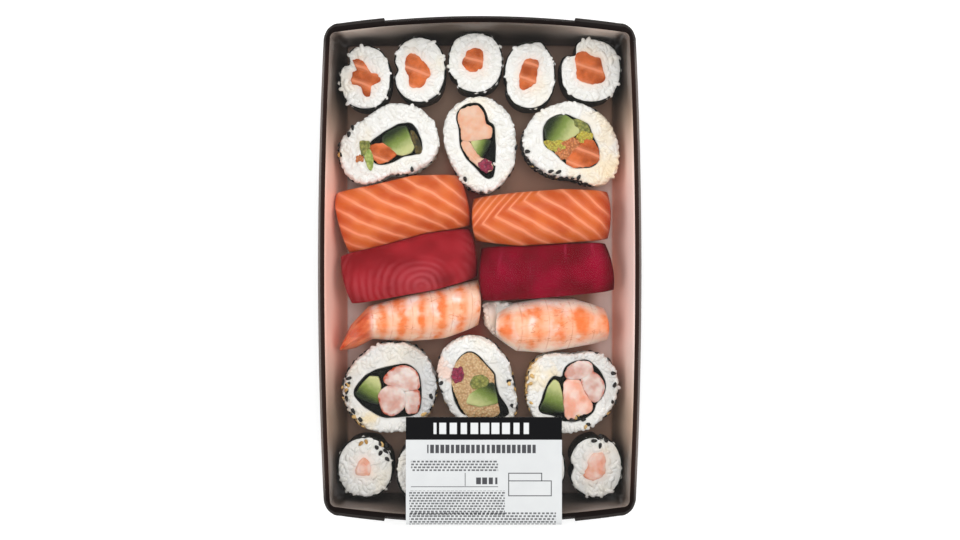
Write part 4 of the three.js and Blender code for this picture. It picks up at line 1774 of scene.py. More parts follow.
@dataclass
class ThinRoll:
    """A thin roll with its nori outside, standing on end: wrap, rice and one strip of filling."""

    name: str
    strip: Strip
    notches: tuple[Notch, ...] = ()
    seam: float = 40.0
    smoothing: int = 3
    top: float = 26.0
    foot: float = 0.75
    sheet: float = 0.45

    AROUND = 96
    # Rings of the cut face: the share of the way in, and how far under the top.
    FACE = ((0.0, 0.95), (0.06, 0.6), (0.2, 0.6), (0.45, 0.5), (0.7, 0.5), (0.86, 0.45), (0.95, 0.4))

    def _inset(self, angle: float) -> float:
        """How far the notches draw the wrap in."""
        return sum(notch.inset(angle) for notch in self.notches)

    def build(self, larder: Larder) -> None:
        """Makes the three layers.

        Args:
            larder: the finishes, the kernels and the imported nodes.
        """
        wall = Wall(larder.solid(f"{self.name}_nori"), self.smoothing)
        self._wrap(wall, larder)
        self._rice(wall, larder)
        self.strip.build(larder, self.name, self.foot, self.top, 0.0, f"{self.name}_filling")

    def _wrap(self, wall: Wall, larder: Larder) -> None:
        """Makes a thin sheet round the rice, with a lapped seam and a ragged upper edge.

        Args:
            wall: the roll's outer face.
            larder: the finishes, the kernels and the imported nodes.
        """
        draft = Draft()
        around = angles(self.AROUND)
        heights = (0.0, 0.3, 0.6, 0.85, 1.0)
        rings = []
        for side, order in ((0.0, heights), (self.sheet, heights[::-1])):
            for share in order:
                points = []
                for a in around:
                    off = (math.degrees(a) - self.seam) % 360
                    lap = 0.35 * max(0.0, 1 - off / 50) if side == 0.0 else 0.0
                    x, y, _ = wall.point(a, self.top)
                    rim = self.top - 0.75 + 0.4 * wobble(x, y, 0.0, 4.5, 1.0)
                    z = mixed(self.foot, rim, share)
                    ripple = 0.12 * wobble(x, y, z, 6.0, 8.0)
                    points.append(wall.point(a, z, self._inset(a) + side - lap + ripple))
                rings.append(draft.ring(points))
        draft.skin([*rings, rings[0]])
        sheet = draft.make(f"{self.name}_seaweed", [larder.looks["nori_sheet"]], sharp=50.0)
        dress(sheet, "nori", f"{self.name}_nori")

    def _rice(self, wall: Wall, larder: Larder) -> None:
        """Rice packed between the wrap and the strip.

        Args:
            wall: the roll's outer face.
            larder: the finishes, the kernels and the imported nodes.
        """
        draft = Draft()
        around = angles(self.AROUND)
        loop = Loop(self.strip.corners, self.strip.rounding)
        edge = []
        for a in around:
            x, y, _ = wall.point(a, self.top)
            inset = self.sheet * (1.4 + 0.9 * wobble(x, y, 0.0, 2.0, 9.0))
            edge.append(wall.point(a, self.top, self._inset(a) + inset))
        ragged = self.strip.food.ragged
        core = [loop.point(a, 0.1 + ragged) for a in around]
        rings = []
        for level in (self.foot, self.top - 1.3):
            side = [wall.point(a, level, self._inset(a) + self.sheet + 0.2) for a in around]
            rings.append(draft.ring(side, grain=0.0, tone=0.5))
        for share, drop in self.FACE:
            points, far = cut_ring(edge, core, share, self.top - drop, (0.35, 3.2))
            marks = [float(share > 0.02 and distance > 1.0 + ragged) for distance in far]
            rings.append(draft.ring(points, grain=marks, tone=0.5, blush=max(0.0, share - 0.55) * 0.7))
        rings.append(draft.ring([(x, y, self.top - 0.5) for x, y in core], grain=0.0, tone=0.5, blush=0.4))
        rings.append(draft.ring([(x, y, self.foot) for x, y in core], grain=0.0, tone=0.5))
        draft.skin([*rings, rings[0]])
        larder.rice(draft, self.name)


@dataclass(frozen=True)
class Arc:
    """A marked stretch of a roll's outer face: its middle and half width in degrees, and its strength."""

    angle: float
    spread: float
    strength: float

    def weight(self, angle: float) -> float:
        """The mark's strength at an angle in radians."""
        return self.strength * max(0.0, 1 - (off_by(angle, self.angle) / self.spread) ** 4)


@dataclass(frozen=True)
class Sprinkle:
    """A few seeds that lie on a cut face, about a place and within a radius in millimetres."""

    x: float
    y: float
    radius: float
    black: float
    white: float
    level: float = 26.0

    def add(self, bed: Draft) -> None:
        """Adds a small disc to the seeds' bed.

        Args:
            bed: the bed that the seeds lie on.
        """
        points = [(self.x + self.radius * math.cos(a), self.y + self.radius * math.sin(a), self.level)
                  for a in angles(12)]
        bed.cap(bed.ring(points, black=self.black, white=self.white))


@dataclass
class InsideOutRoll:
    """A thick roll with its rice outside and a nori lining round several strips of filling."""

    name: str
    lining: tuple[Flat, ...]
    strips: tuple[Strip, ...]
    black: tuple[Arc, ...] = ()
    white: tuple[Arc, ...] = ()
    top: float = 27.0
    foot: float = 0.75
    sheet: float = 0.45
    recess: float = 3.5
    swell: float = 0.45
    stain: tuple[Arc, ...] = ()
    # Stretches where the rice is greyed as painted shade.
    shade: tuple[Arc, ...] = ()
    blush: tuple[Arc, ...] = ()

    AROUND = 96
    GRAIN_ROOM = 0.8
    # Rings of the cut face: the share of the way in, and how far under the top.
    FACE = ((0.06, 1.0), (0.2, 0.6), (0.4, 0.5), (0.6, 0.5), (0.75, 0.5), (0.88, 0.55), (0.96, 0.6))

    def build(self, larder: Larder, bed: Draft) -> None:
        """Makes the rice, the lining and the strips, and adds the outer face to the seeds' bed.

        Args:
            larder: the finishes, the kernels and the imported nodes.
            bed: the bed that the seeds lie on.
        """
        wall = Wall(larder.solid(f"{self.name}_rice"))
        self._rice(wall, larder)
        self._lining(larder)
        for strip in self.strips:
            strip.build(larder, self.name, self.foot, self.top, self.swell, f"{self.name}_filling")
        self._bed(wall, bed)

    def _rice(self, wall: Wall, larder: Larder) -> None:
        """Rice with grains over its outer and cut faces.

        Args:
            wall: the roll's outer face.
            larder: the finishes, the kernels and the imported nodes.
        """
        draft = Draft()
        around = angles(self.AROUND)
        loop = Loop(self.lining, 0.35)
        core = [loop.point(a, -0.1) for a in around]
        tints = {key: [sum(arc.weight(a) for arc in getattr(self, key)) for a in around]
                 for key in ("stain", "shade", "blush")}
        rings = []
        for i, z in enumerate((self.foot, 2.5, 7.0, 12.0, 17.0, 22.0, self.top - 2.0)):
            points = []
            for a in around:
                x, y, _ = wall.point(a, z)
                points.append(wall.point(a, z, self.GRAIN_ROOM + 0.5 * wobble(x, y, z, 5.0, 2.0)))
            rings.append(draft.ring(points, grain=float(i > 1), tone=0.5, **tints))
        edge = [wall.point(a, self.top, self.GRAIN_ROOM) for a in around]
        for share, drop in self.FACE:
            points, far = cut_ring(edge, core, share, self.top - drop, (0.5, 4.0))
            grain = [float(distance > 2.1) for distance in far]
            rings.append(draft.ring(points, grain=grain, tone=0.5, **tints))
        for level in (self.top - 0.9, self.foot):
            rings.append(draft.ring([(x, y, level) for x, y in core], grain=0.0, tone=0.5))
        draft.skin([*rings, rings[0]])
        larder.rice(draft, self.name)

    def _lining(self, larder: Larder) -> None:
        """The nori inside, as a cup whose recess holds the strips' upper ends.

        Args:
            larder: the finishes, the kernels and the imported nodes.
        """
        draft = Draft()
        around = angles(self.AROUND)
        loop = Loop(self.lining, 0.35)
        rings = []
        lip, sheet, bottom = self.top - 0.3, self.sheet, self.top - self.recess
        for inset, z in ((0.0, self.foot), (0.0, self.top - 2.0), (0.0, lip), (sheet, lip),
                         (sheet, self.top - 2.0), (sheet, bottom), (1.6, bottom)):
            points = []
            for a in around:
                x, y = loop.point(a, inset)
                rim = 0.35 * wobble(x, y, 0.0, 4.0, 1.0) if z > self.top - 1 else 0.0
                points.append((x, y, z + rim))
            rings.append(draft.ring(points))
        draft.skin(rings)
        draft.cap(rings[-1])
        draft.cap(rings[0], flipped=True)
        piece = draft.make(f"{self.name}_seaweed", [larder.looks["nori_sheet"]], sharp=50.0)
        dress(piece, "nori", f"{self.name}_filling")

    def _bed(self, wall: Wall, bed: Draft) -> None:
        """Adds the outer face, marked with how thickly each kind of seed lies on it.

        Args:
            wall: the roll's outer face.
            bed: the bed that the seeds lie on.
        """
        around = angles(self.AROUND)
        rings = []
        heights = (2.0, 6.0, 10.0, 14.0, 18.0, 22.0, self.top - 0.8)
        for z, inset, share in (*((z, 0.05, 1.0) for z in heights), (self.top + 0.4, 2.6, 0.35)):
            tones = {key: [share * sum(arc.weight(a) for arc in getattr(self, key)) for a in around]
                     for key in ("black", "white")}
            rings.append(bed.ring([wall.point(a, z, inset) for a in around], **tones))
        bed.skin(rings)


# ---- Nigiri ----------------------------------------------------------


@dataclass
class Nigiri:
    """A block of rice with a slice draped over it, between ribs that cross the slice from end to end."""

    name: str
    ribs: tuple[Rib, ...]
    look: str
    slot: str
    height: float
    thickness: float
    sag: float
    seat: float
    rice: Flat
    foot: float = 0.75
    end_sag: float = 5.0
    edge_thinning: float = 0.45
    corner_round: float = 0.06
    rice_share: float = 0.86
    spread: float = 1.035
    bulge: float = 0.036
    stations: int = 72
    across: int = 26
    bed: tuple[Rib, ...] = ()
    tray: Tray = field(default_factory=Tray)

    def rib(self, along: float, bed: bool = False) -> tuple[float, ...]:
        """Two edge points between the ribs.

        Args:
            along: the share of the length, which may lie a little past either end.
            bed: whether the rice's own ribs are meant.

        Returns:
            x and y of the near edge, then of the far one.
        """
        ribs = self.bed if bed else self.ribs
        last = len(ribs) - 1
        place = kept(along) * last
        first = min(int(place), last - 1)
        t = place - first + (along - kept(along)) * last
        return tuple(mixed(a, b, t) for a, b in zip(ribs[first], ribs[first + 1]))

    def crown(self, along: float, across: float) -> float:
        """Height of the slice's upper face."""
        ends = abs(2 * kept(along) - 1) ** 6
        return self.height - self.sag * abs(across) ** 2.6 - self.end_sag * ends

    def under(self, along: float, across: float) -> float:
        """Height of the slice's lower face."""
        return self.crown(along, across) - self.thickness * (1 - self.edge_thinning * across * across)

    def place(self, along: float, across: float, bed: bool = False) -> Flat:
        """Finds a place, seen from above.

        Args:
            along: the share of the length.
            across: from -1 at the near edge to 1 at the far one.
            bed: whether the rice's own ribs are meant.

        Returns:
            x and y.
        """
        x0, y0, x1, y1 = self.rib(along, bed)
        end = min(1.0, abs(2 * along - 1) ** 10)
        v = 0.5 + 0.5 * across * (1 - self.corner_round * end)
        return mixed(x0, x1, v), mixed(y0, y1, v)

    def build(self, larder: Larder) -> None:
        """Makes the rice and the slice."""
        self._rice(larder)
        self._slice(larder)

    def _rice(self, larder: Larder) -> None:
        """A long mound of rice under the slice, with grains on its sides and ends.

        Args:
            larder: the finishes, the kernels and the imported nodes.
        """
        draft = Draft()
        rings = []
        for t in steps(30):
            end = abs(2 * t - 1) ** 5
            along = mixed(self.rice[0], self.rice[1], t)
            narrow = self.rice_share * (1 - 0.12 * end) - 0.07
            line = [(-narrow + 2 * narrow * i / 6, self.foot, 0.0) for i in range(7)]
            side = [(narrow * (1.05 if z > 3.5 else 1.03), z, float(z > 3.5)) for z in (3.5, 8.0, 13.0)]
            line += side
            for i in range(13):
                v = narrow * (1 - 2 * i / 12)
                beyond = kept(-along * 12)
                roof = self.under(kept(along), v) - self.seat - 0.6 + 2.8 * beyond
                line.append((v, max(15.0, roof), 1.0 if abs(v) > narrow * 0.7 or end > 0.55 else 0.0))
            line += [(-across, z, mark) for across, z, mark in side[::-1]]
            points, marks = [], []
            for across, z, mark in line:
                x, y = self.place(t, across, True) if self.bed else self.place(along, across)
                x += 1.2 * end * (0.5 - t) if z > 5 else 0.0
                bump = 0.45 * wobble(x, y, z, 4.5, 2.0)
                points.append((x, y + bump * 0.5, z + (bump if z > 2 else 0.0)))
                marks.append(1.0 if end > 0.8 and z > 3.5 else mark)
            rings.append(draft.ring(points, grain=marks, tone=0.5, blush=0.3 if along < 0.0 else 0.0))
        draft.skin(rings)
        draft.cap(rings[0], flipped=True)
        draft.cap(rings[-1])
        larder.rice(draft, self.name)

    def relief(self, across: float, x: float, y: float) -> float:
        """Unevenness of the slice's upper face in millimetres."""
        return 0.35 * wobble(x, y, 0.0, 14.0, 3.0) + 0.08 * wobble(x, y, 0.0, 3.0, 5.0)

    def marks(self, along: float, across: float, x: float) -> dict[str, float]:
        """Numbers that the slice's finish reads: where its far end falls away from the light."""
        return {"fall": kept((along - 0.88) / 0.12) ** 2}

    def _slice(self, larder: Larder) -> None:
        """The topping, a closed slab with softly rounded edges.

        Args:
            larder: the finishes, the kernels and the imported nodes.
        """
        draft = Draft()
        rings = []
        width = [math.sin(math.pi / 2 * (2 * t - 1)) for t in steps(self.across)]
        round_share = 0.045
        for s in range(self.stations + 1):
            along = mixed(0.5 - 0.5 * math.cos(math.pi * s / self.stations), s / self.stations, 0.6)
            tip = max(0.0, (abs(2 * along - 1) - 0.975) / 0.025)
            squeeze = math.sqrt(max(0.0, 1 - tip * tip)) * 0.55 + 0.45
            points, stored = [], []
            for upper in (False, True):
                for across in width[::-1] if upper else width:
                    bulged = 0.5 + (along - 0.5) * (1 + self.bulge * (1 - across * across))
                    x, y = self.place(bulged, across * self.spread)
                    high, low = self.crown(along, across), self.under(along, across)
                    middle = (high + low) / 2
                    rim = max(0.0, (abs(across) - (1 - round_share)) / round_share)
                    swell = (0.3 + 0.7 * math.sqrt(max(0.0, 1 - rim * rim))) * squeeze
                    z = middle + (high - middle if upper else low - middle) * swell
                    z += self.relief(across, x, y) if upper else 0.0
                    points.append((self.tray.held(x, y, z), y, z))
                    stored.append(self.marks(along, across, x))
            rings.append(draft.ring(points, **{key: [one[key] for one in stored] for key in stored[0]}))
        draft.skin(rings)
        for ring, flipped in ((rings[0], True), (rings[-1], False)):
            last = len(ring) - 1
            for i in range(self.across):
                face = (ring[i], ring[i + 1], ring[last - i - 1], ring[last - i])
                draft.faces.append(face[::-1] if flipped else face)
                draft.kinds.append(0)
        piece = draft.make(f"{self.name}_slice", [larder.looks[self.look]], sharp=45.0)
        dress(piece, self.slot, f"{self.name}_topping")


@dataclass
class ShrimpNigiri(Nigiri):
    """A cooked, opened shrimp on rice: banded segments, a groove along the back and perhaps a fanned tail."""

    bands: tuple[float, ...] = ()
    tail_to: float = -200.0

    def band(self, x: float) -> float:
        """Where a place lies in the run of segments; each whole number is the middle of an orange band.

        Args:
            x: the place across the tray.

        Returns:
            The place, with its share of the way to the next band.
        """
        last = len(self.bands) - 2
        after = sum(1 for middle in self.bands[1:-1] if x >= middle)
        low, high = self.bands[min(after, last)], self.bands[min(after, last) + 1]
        return min(after, last) + (x - low) / (high - low)

    def tail(self, x: float) -> float:
        """1 on the tail and 0 on the body."""
        return kept((self.tail_to - x) / 5.0)

    def relief(self, across: float, x: float, y: float) -> float:
        """Segments that overlap, a shallow groove along the back and ridges on the tail.

        Args:
            across: from -1 at the near edge to 1 at the far one.
            x: the place across the tray.
            y: the place along it.

        Returns:
            The height in millimetres.
        """
        place = self.band(x) % 1.0
        step = 0.75 * (1 - place) ** 2 * min(1.0, place * 6)
        groove = -0.5 * math.exp(-((across * 6) ** 2))
        rays = 0.35 * math.sin(across * 14) * self.tail(x)
        body = 1 - self.tail(x)
        return (step + groove) * body + rays + 0.3 * wobble(x, y, 0.0, 7.0, 3.0)

    def marks(self, along: float, across: float, x: float) -> dict[str, float]:
        """The band's phase, closeness to a long edge, and the tail.

        Args:
            along: the share of the length.
            across: from -1 at the near edge to 1 at the far one.
            x: the place across the tray.

        Returns:
            The numbers by name.
        """
        return {
            "segment": self.band(x + 2.2 * across * across),
            "edge": min(1.0, abs(across) ** 3 + max(0.0, 1 - along / 0.08) ** 2),
            "tail": self.tail(x),
        }


# ---- What the tray holds ---------------------------------------------


def round_strip(name: str, food: Food, x: float, y: float, radii: Sequence[float], **more: float) -> Strip:
    """A strip about a centre, by radii at equal angles from +X towards +Y.

    Args:
        name: the strip's name.
        food: what it is made of.
        x: the place across the tray.
        y: the place along it.
        radii: distances from the centre.
        more: other fields of the strip.

    Returns:
        The strip.
    """
    corners = tuple(
        (x + r * math.cos(a), y + r * math.sin(a)) for r, a in zip(radii, angles(len(radii)))
    )
    return Strip(name, food, corners, **more)


# Salmon along the back of the tray and crab along its front.
THIN_ROLLS = (
    ThinRoll("salmon_roll_1", Strip("strip", Food.SALMON, (
        (-57.7, 95.6), (-60.8, 94.7), (-61.6, 90.7), (-61.2, 88.5), (-56.8, 87.6), (-55.5, 82.8),
        (-52.4, 82.3), (-51.9, 87.6), (-49.7, 88.5), (-46.8, 90.7), (-48.4, 93.4), (-51.7, 94.0),
        (-53.9, 96.9), (-55.9, 100.0), (-58.5, 100.9), (-61.6, 100.0)), rounding=0.2),
        (Notch(139, 3.6, 13),), 150),
    ThinRoll("salmon_roll_2", Strip("strip", Food.SALMON, (
        (-35.8, 100.5), (-35.8, 95.6), (-34.0, 92.1), (-33.8, 87.0), (-27.2, 86.8), (-25.0, 91.2),
        (-23.0, 93.4), (-25.0, 97.8), (-30.3, 102.7), (-32.9, 104.2))), (), 300, 12),
    ThinRoll("salmon_roll_3", Strip("strip", Food.SALMON, (
        (-8.5, 97.7), (-5.6, 94.8), (-2.7, 94.1), (1.6, 96.3), (1.8, 102.0), (1.1, 105.3), (-3.0, 106.1),
        (-6.1, 104.4), (-8.5, 99.6))), (Notch(222, 1.6, 10),), 230),
    ThinRoll("salmon_roll_4", Strip("strip", Food.SALMON, (
        (20.4, 98.2), (19.1, 93.8), (18.7, 89.4), (19.6, 85.4), (24.0, 86.8), (27.1, 89.4), (27.7, 95.6),
        (28.4, 99.6), (24.9, 101.1), (21.8, 100.5))), (Notch(72, -1.6, 9), Notch(196, 1.0, 9)), 80),
    ThinRoll("salmon_roll_5", Strip("strip", Food.SALMON, (
        (46.1, 96.9), (46.5, 90.7), (52.3, 88.5), (56.7, 88.7), (60.7, 90.3), (58.9, 95.6), (58.0, 101.3),
        (53.2, 102.2), (49.6, 104.9), (47.0, 104.0), (45.2, 101.8))), (Notch(136, 4.6, 14),), 146),
    ThinRoll("crab_roll_1", Strip("strip", Food.CRAB, (
        (-59.4, -98.0), (-55.9, -98.9), (-52.8, -98.4), (-51.9, -96.6), (-52.4, -92.7), (-54.1, -90.0),
        (-56.3, -90.0), (-58.5, -92.7), (-59.7, -95.3))), (Notch(47, 0.9, 9),), 60, 8),
    ThinRoll("crab_roll_2", round_strip(
        "strip", Food.CRAB, -26.2, -96.0, (4.6, 5.2, 4.0, 5.1, 4.6, 4.4, 5.0, 4.0)), (), 200),
    ThinRoll("crab_roll_3", round_strip(
        "strip", Food.CRAB, 0.0, -97.3, (4.0, 4.6, 5.1, 4.5, 5.0, 4.1, 4.6, 5.0)), (), 20),
    ThinRoll("crab_roll_4", round_strip(
        "strip", Food.CRAB, 28.0, -95.6, (5.0, 4.6, 4.5, 5.5, 4.0, 4.5, 5.0, 4.6)), (), 110),
    ThinRoll("crab_roll_5", Strip("strip", Food.CRAB, (
        (51.4, -94.9), (49.2, -97.5), (50.1, -99.7), (54.5, -101.1), (57.6, -99.7), (60.2, -97.5),
        (60.2, -90.5), (59.3, -87.4), (54.0, -87.8), (51.6, -91.3))), (Notch(80, 1.4, 8),), 86, 14),
)

# Three on each side of the nigiri.
THICK_ROLLS = (
    InsideOutRoll("cucumber_salmon_roll_1", (
        (-53.3, 58.0), (-52.4, 53.7), (-49.5, 50.1), (-45.7, 50.1), (-41.4, 51.3), (-36.1, 54.2),
        (-32.3, 54.6), (-27.6, 56.1), (-27.6, 60.8), (-29.9, 66.6), (-32.8, 70.1), (-38.5, 69.7),
        (-45.2, 66.1), (-51.9, 61.3)), (
        Strip("cucumber", Food.CUCUMBER, (
            (-35.4, 68.5), (-39.0, 68.0), (-43.8, 65.6), (-46.6, 63.2), (-45.9, 60.4), (-43.3, 57.5),
            (-40.9, 55.6), (-36.6, 54.6), (-32.8, 56.1), (-31.4, 58.5), (-33.3, 63.2)), skin=122.0,
            rounding=0.25),
        Strip("salmon", Food.SALMON, (
            (-50.7, 53.2), (-48.1, 50.6), (-44.7, 51.5), (-41.4, 53.7), (-39.5, 55.8), (-42.4, 58.5),
            (-46.2, 60.1), (-50.9, 59.6), (-52.6, 58.5))),
        Strip("olive", Food.OLIVE, (
            (-56.9, 57.5), (-56.2, 54.2), (-54.3, 55.6), (-52.6, 58.5), (-52.8, 61.1), (-57.1, 61.1)),
            proud=0.5, rough=0.3),
        Strip("avocado", Food.AVOCADO, (
            (-54.8, 53.7), (-53.8, 49.9), (-52.4, 47.0), (-51.2, 48.4), (-51.2, 53.7), (-52.4, 57.5),
            (-54.5, 57.0)), proud=0.5, rough=0.3),
        Strip("leaf", Food.LEAF, (
            (-33.2, 66.9), (-31.6, 66.1), (-28.9, 61.3), (-27.7, 57.0), (-28.2, 55.4), (-31.2, 55.3),
            (-30.7, 58.2), (-32.6, 62.1))),
        Strip("spiced", Food.SPICED, (
            (-58.6, 51.8), (-56.0, 51.8), (-56.0, 53.7), (-57.9, 55.1), (-58.8, 53.2)), proud=0.4,
            rough=0.3)),
        black=(Arc(165, 60, 0.22), Arc(189, 11, 1.0), Arc(215, 24, 0.12), Arc(-60, 40, 0.12)),
        white=(Arc(160, 50, 0.05),)),
    InsideOutRoll("crab_salad_roll", (
        (-9.9, 67.5), (-9.4, 58.9), (-6.6, 53.2), (-0.8, 47.5), (2.5, 43.7), (5.4, 42.2), (7.3, 46.5),
        (7.3, 52.3), (7.5, 59.4), (7.0, 69.0), (3.9, 70.9), (3.0, 75.2), (0.1, 79.5), (-4.7, 79.5),
        (-8.5, 78.0), (-11.6, 73.7)), (
        Strip("block", Food.CRAB_SALAD, (
            (-8.9, 67.5), (-8.5, 61.8), (-4.7, 61.3), (0.1, 62.3), (5.6, 62.8), (5.6, 68.0), (2.7, 69.4),
            (1.6, 74.7), (-0.8, 78.0), (-5.6, 77.5), (-8.9, 76.1), (-10.4, 72.8)), proud=0.4, rough=0.5,
            rounding=0.25),
        Strip("strand", Food.CRAB_SALAD, (
            (-8.0, 57.5), (-4.7, 53.2), (0.1, 48.4), (3.9, 46.5), (6.3, 48.9), (4.9, 52.3), (0.1, 53.2),
            (-2.7, 57.0), (-4.7, 61.3), (-8.9, 61.3)), rough=0.5, rounding=0.25),
        Strip("cucumber", Food.CUCUMBER, (
            (-3.2, 58.9), (-1.3, 55.6), (1.1, 53.7), (3.0, 57.0), (5.4, 61.3), (3.0, 62.0), (-4.2, 61.3)),
            skin=-20.0, rounding=0.25),
        Strip("pickle", Food.PICKLE, (
            (0.1, 48.4), (3.0, 46.5), (5.8, 48.4), (5.4, 51.3), (2.0, 52.7), (-0.8, 50.8)), proud=0.4,
            rough=0.4)),
        black=(Arc(-20, 50, 0.12), Arc(60, 30, 0.08), Arc(250, 30, 0.16)), white=(Arc(-30, 60, 0.04),)),
    InsideOutRoll("cucumber_salmon_roll_2", (
        (31.1, 58.9), (35.4, 56.1), (40.2, 51.3), (45.0, 48.4), (53.6, 48.9), (57.1, 51.8), (56.9, 58.0),
        (54.0, 63.7), (52.1, 69.4), (46.4, 71.8), (41.6, 74.2), (37.3, 74.0), (32.6, 71.6), (30.2, 67.5),
        (30.4, 61.8)), (
        Strip("cucumber", Food.CUCUMBER, (
            (35.0, 60.8), (39.7, 61.8), (44.0, 63.7), (47.8, 66.1), (44.5, 70.4), (40.7, 73.0), (37.3, 72.8),
            (33.5, 70.9), (31.4, 68.0), (32.1, 62.8)), skin=150.0, rounding=0.3),
        Strip("olive", Food.OLIVE, (
            (46.9, 67.0), (49.3, 64.4), (52.6, 65.1), (51.2, 68.5), (47.8, 70.9), (44.5, 71.3)), rough=0.4),
        Strip("mustard", Food.SAUCE, (
            (48.8, 60.8), (52.4, 61.3), (53.1, 64.7), (48.8, 65.1), (46.4, 63.2)), proud=0.4, rough=0.5),
        Strip("mustard_edge", Food.SAUCE, (
            (32.6, 58.7), (36.9, 56.5), (41.2, 58.0), (39.7, 61.3), (35.0, 61.1), (30.9, 61.3)), rough=0.5),
        Strip("spiced", Food.SPICED, (
            (39.7, 53.2), (43.1, 53.2), (46.9, 57.5), (47.8, 61.1), (44.0, 62.5), (39.2, 60.4), (36.4, 56.5)),
            proud=0.1, rough=0.6, rounding=0.3),
        Strip("salmon", Food.SALMON, (
            (41.2, 51.3), (45.5, 49.4), (52.6, 49.9), (56.2, 52.3), (56.0, 57.0), (53.6, 61.3), (50.7, 61.6),
            (46.4, 57.5), (43.1, 53.7)), proud=0.4)),
        black=(Arc(225, 52, 1.0), Arc(278, 26, 0.8), Arc(190, 30, 0.4), Arc(30, 40, 0.12)),
        white=(Arc(220, 40, 0.12),), stain=(Arc(0, 75, 0.5), Arc(-70, 60, 0.3)), swell=1.0),
    InsideOutRoll("shrimp_roll_1", (
        (-59.8, -60.8), (-55.2, -65.6), (-49.0, -69.4), (-45.2, -70.9), (-39.0, -70.4), (-32.3, -69.9),
        (-28.8, -68.0), (-28.0, -62.3), (-28.0, -55.6), (-29.0, -49.9), (-31.9, -46.5), (-35.7, -44.9),
        (-40.4, -45.6), (-45.2, -46.8), (-50.0, -48.0), (-54.3, -50.3), (-58.6, -55.1), (-60.7, -58.9)), (
        Strip("cucumber", Food.CUCUMBER, (
            (-56.7, -61.6), (-52.4, -63.2), (-48.6, -64.2), (-47.6, -59.9), (-47.6, -55.1), (-48.6, -51.5),
            (-52.8, -51.3), (-56.2, -55.1), (-59.5, -59.4)), skin=238.0, rounding=0.25),
        Strip("shrimp_a", Food.SHRIMP, (
            (-43.3, -55.1), (-39.5, -55.8), (-36.1, -58.0), (-32.8, -57.5), (-28.8, -57.3), (-29.5, -50.8),
            (-31.9, -47.5), (-36.1, -46.0), (-40.4, -47.0), (-43.8, -49.4), (-46.6, -53.2)), proud=0.7,
            rough=0.45, rounding=0.6),
        Strip("shrimp_b", Food.SHRIMP, (
            (-47.6, -63.2), (-46.2, -68.0), (-41.9, -69.9), (-37.6, -67.5), (-35.4, -63.2), (-35.9, -58.9),
            (-39.0, -56.3), (-43.3, -55.6), (-46.6, -57.5), (-48.3, -59.9)), proud=0.8, rough=0.45,
            rounding=0.6),
        Strip("shrimp_c", Food.SHRIMP, (
            (-35.7, -63.7), (-34.7, -68.7), (-29.9, -68.5), (-28.8, -63.2), (-29.0, -57.7), (-35.4, -58.2)),
            proud=0.5, rough=0.4)),
        black=(Arc(200, 42, 0.7), Arc(150, 30, 0.2), Arc(-15, 30, 0.5), Arc(80, 40, 0.12)),
        white=(Arc(207, 40, 0.8), Arc(-20, 30, 0.3)), stain=(Arc(235, 14, 0.8),),
        shade=(Arc(0, 75, 0.75), Arc(110, 70, 0.3), Arc(200, 50, 0.25))),
    InsideOutRoll("tuna_salad_roll", (
        (-13.2, -57.5), (-11.8, -63.2), (-8.5, -69.0), (0.1, -70.4), (13.5, -70.4), (14.4, -67.0),
        (9.2, -60.4), (7.8, -55.1), (7.3, -49.9), (3.5, -45.6), (-1.3, -40.3), (-4.7, -38.7), (-8.0, -40.3),
        (-11.3, -44.1), (-13.2, -50.3)), (
        Strip("salad", Food.TUNA_SALAD, (
            (-12.8, -54.6), (-11.3, -59.4), (-8.9, -65.1), (-5.6, -69.9), (7.3, -69.9), (9.7, -68.0),
            (7.8, -63.2), (6.6, -55.6), (6.3, -50.3), (3.0, -46.5), (-1.8, -41.3), (-4.7, -39.8),
            (-7.5, -41.0), (-10.9, -44.6), (-12.5, -49.4)), rough=0.45, rounding=0.2),
        Strip("cucumber", Food.CUCUMBER, (
            (0.1, -65.1), (8.2, -63.7), (6.3, -54.2), (3.0, -55.1), (-0.8, -57.5), (-4.7, -59.9),
            (-6.1, -63.7)), skin=60.0, proud=0.6, rounding=0.25),
        Strip("cucumber_end", Food.OLIVE, (
            (-3.2, -56.5), (0.1, -56.5), (3.9, -55.6), (3.5, -52.0), (0.6, -50.6), (-2.7, -51.5),
            (-4.2, -54.6)), proud=0.6),
        Strip("pickle", Food.PICKLE, (
            (-11.8, -53.7), (-8.9, -53.0), (-8.0, -50.3), (-8.9, -47.0), (-12.3, -47.5), (-13.0, -51.3)),
            proud=0.5, rough=0.3)),
        black=(Arc(-8, 48, 0.45), Arc(170, 36, 0.25), Arc(60, 30, 0.12)),
        white=(Arc(205, 40, 0.2), Arc(-8, 40, 0.12)), shade=(Arc(0, 70, 0.4), Arc(180, 70, 0.35)),
        blush=(Arc(156, 15, 0.45),), swell=0.7),
    InsideOutRoll("shrimp_roll_2", (
        (35.9, -69.9), (39.2, -72.3), (45.5, -72.8), (50.7, -70.9), (54.5, -68.0), (55.5, -63.7),
        (58.3, -61.3), (60.2, -57.0), (59.8, -52.7), (57.4, -48.4), (54.5, -45.6), (51.7, -42.9),
        (45.5, -43.7), (41.6, -45.6), (39.7, -48.9), (39.5, -53.2), (38.3, -51.3), (35.9, -50.3),
        (33.0, -53.2), (30.7, -58.5), (29.2, -63.7), (27.1, -68.0)), (
        Strip("cucumber", Food.CUCUMBER, (
            (28.3, -67.0), (31.1, -68.2), (40.2, -68.0), (39.7, -64.2), (39.2, -59.9), (37.8, -54.2),
            (35.4, -52.7), (32.6, -56.5), (31.1, -62.3)), skin=250.0, rounding=0.25),
        Strip("shrimp_a", Food.SHRIMP, (
            (41.2, -51.8), (44.5, -52.3), (49.3, -51.8), (53.6, -49.9), (54.0, -47.0), (52.1, -43.9),
            (46.9, -44.1), (43.1, -46.0), (40.9, -49.4)), proud=0.7, rough=0.4, rounding=0.6),
        Strip("shrimp_b", Food.SHRIMP, (
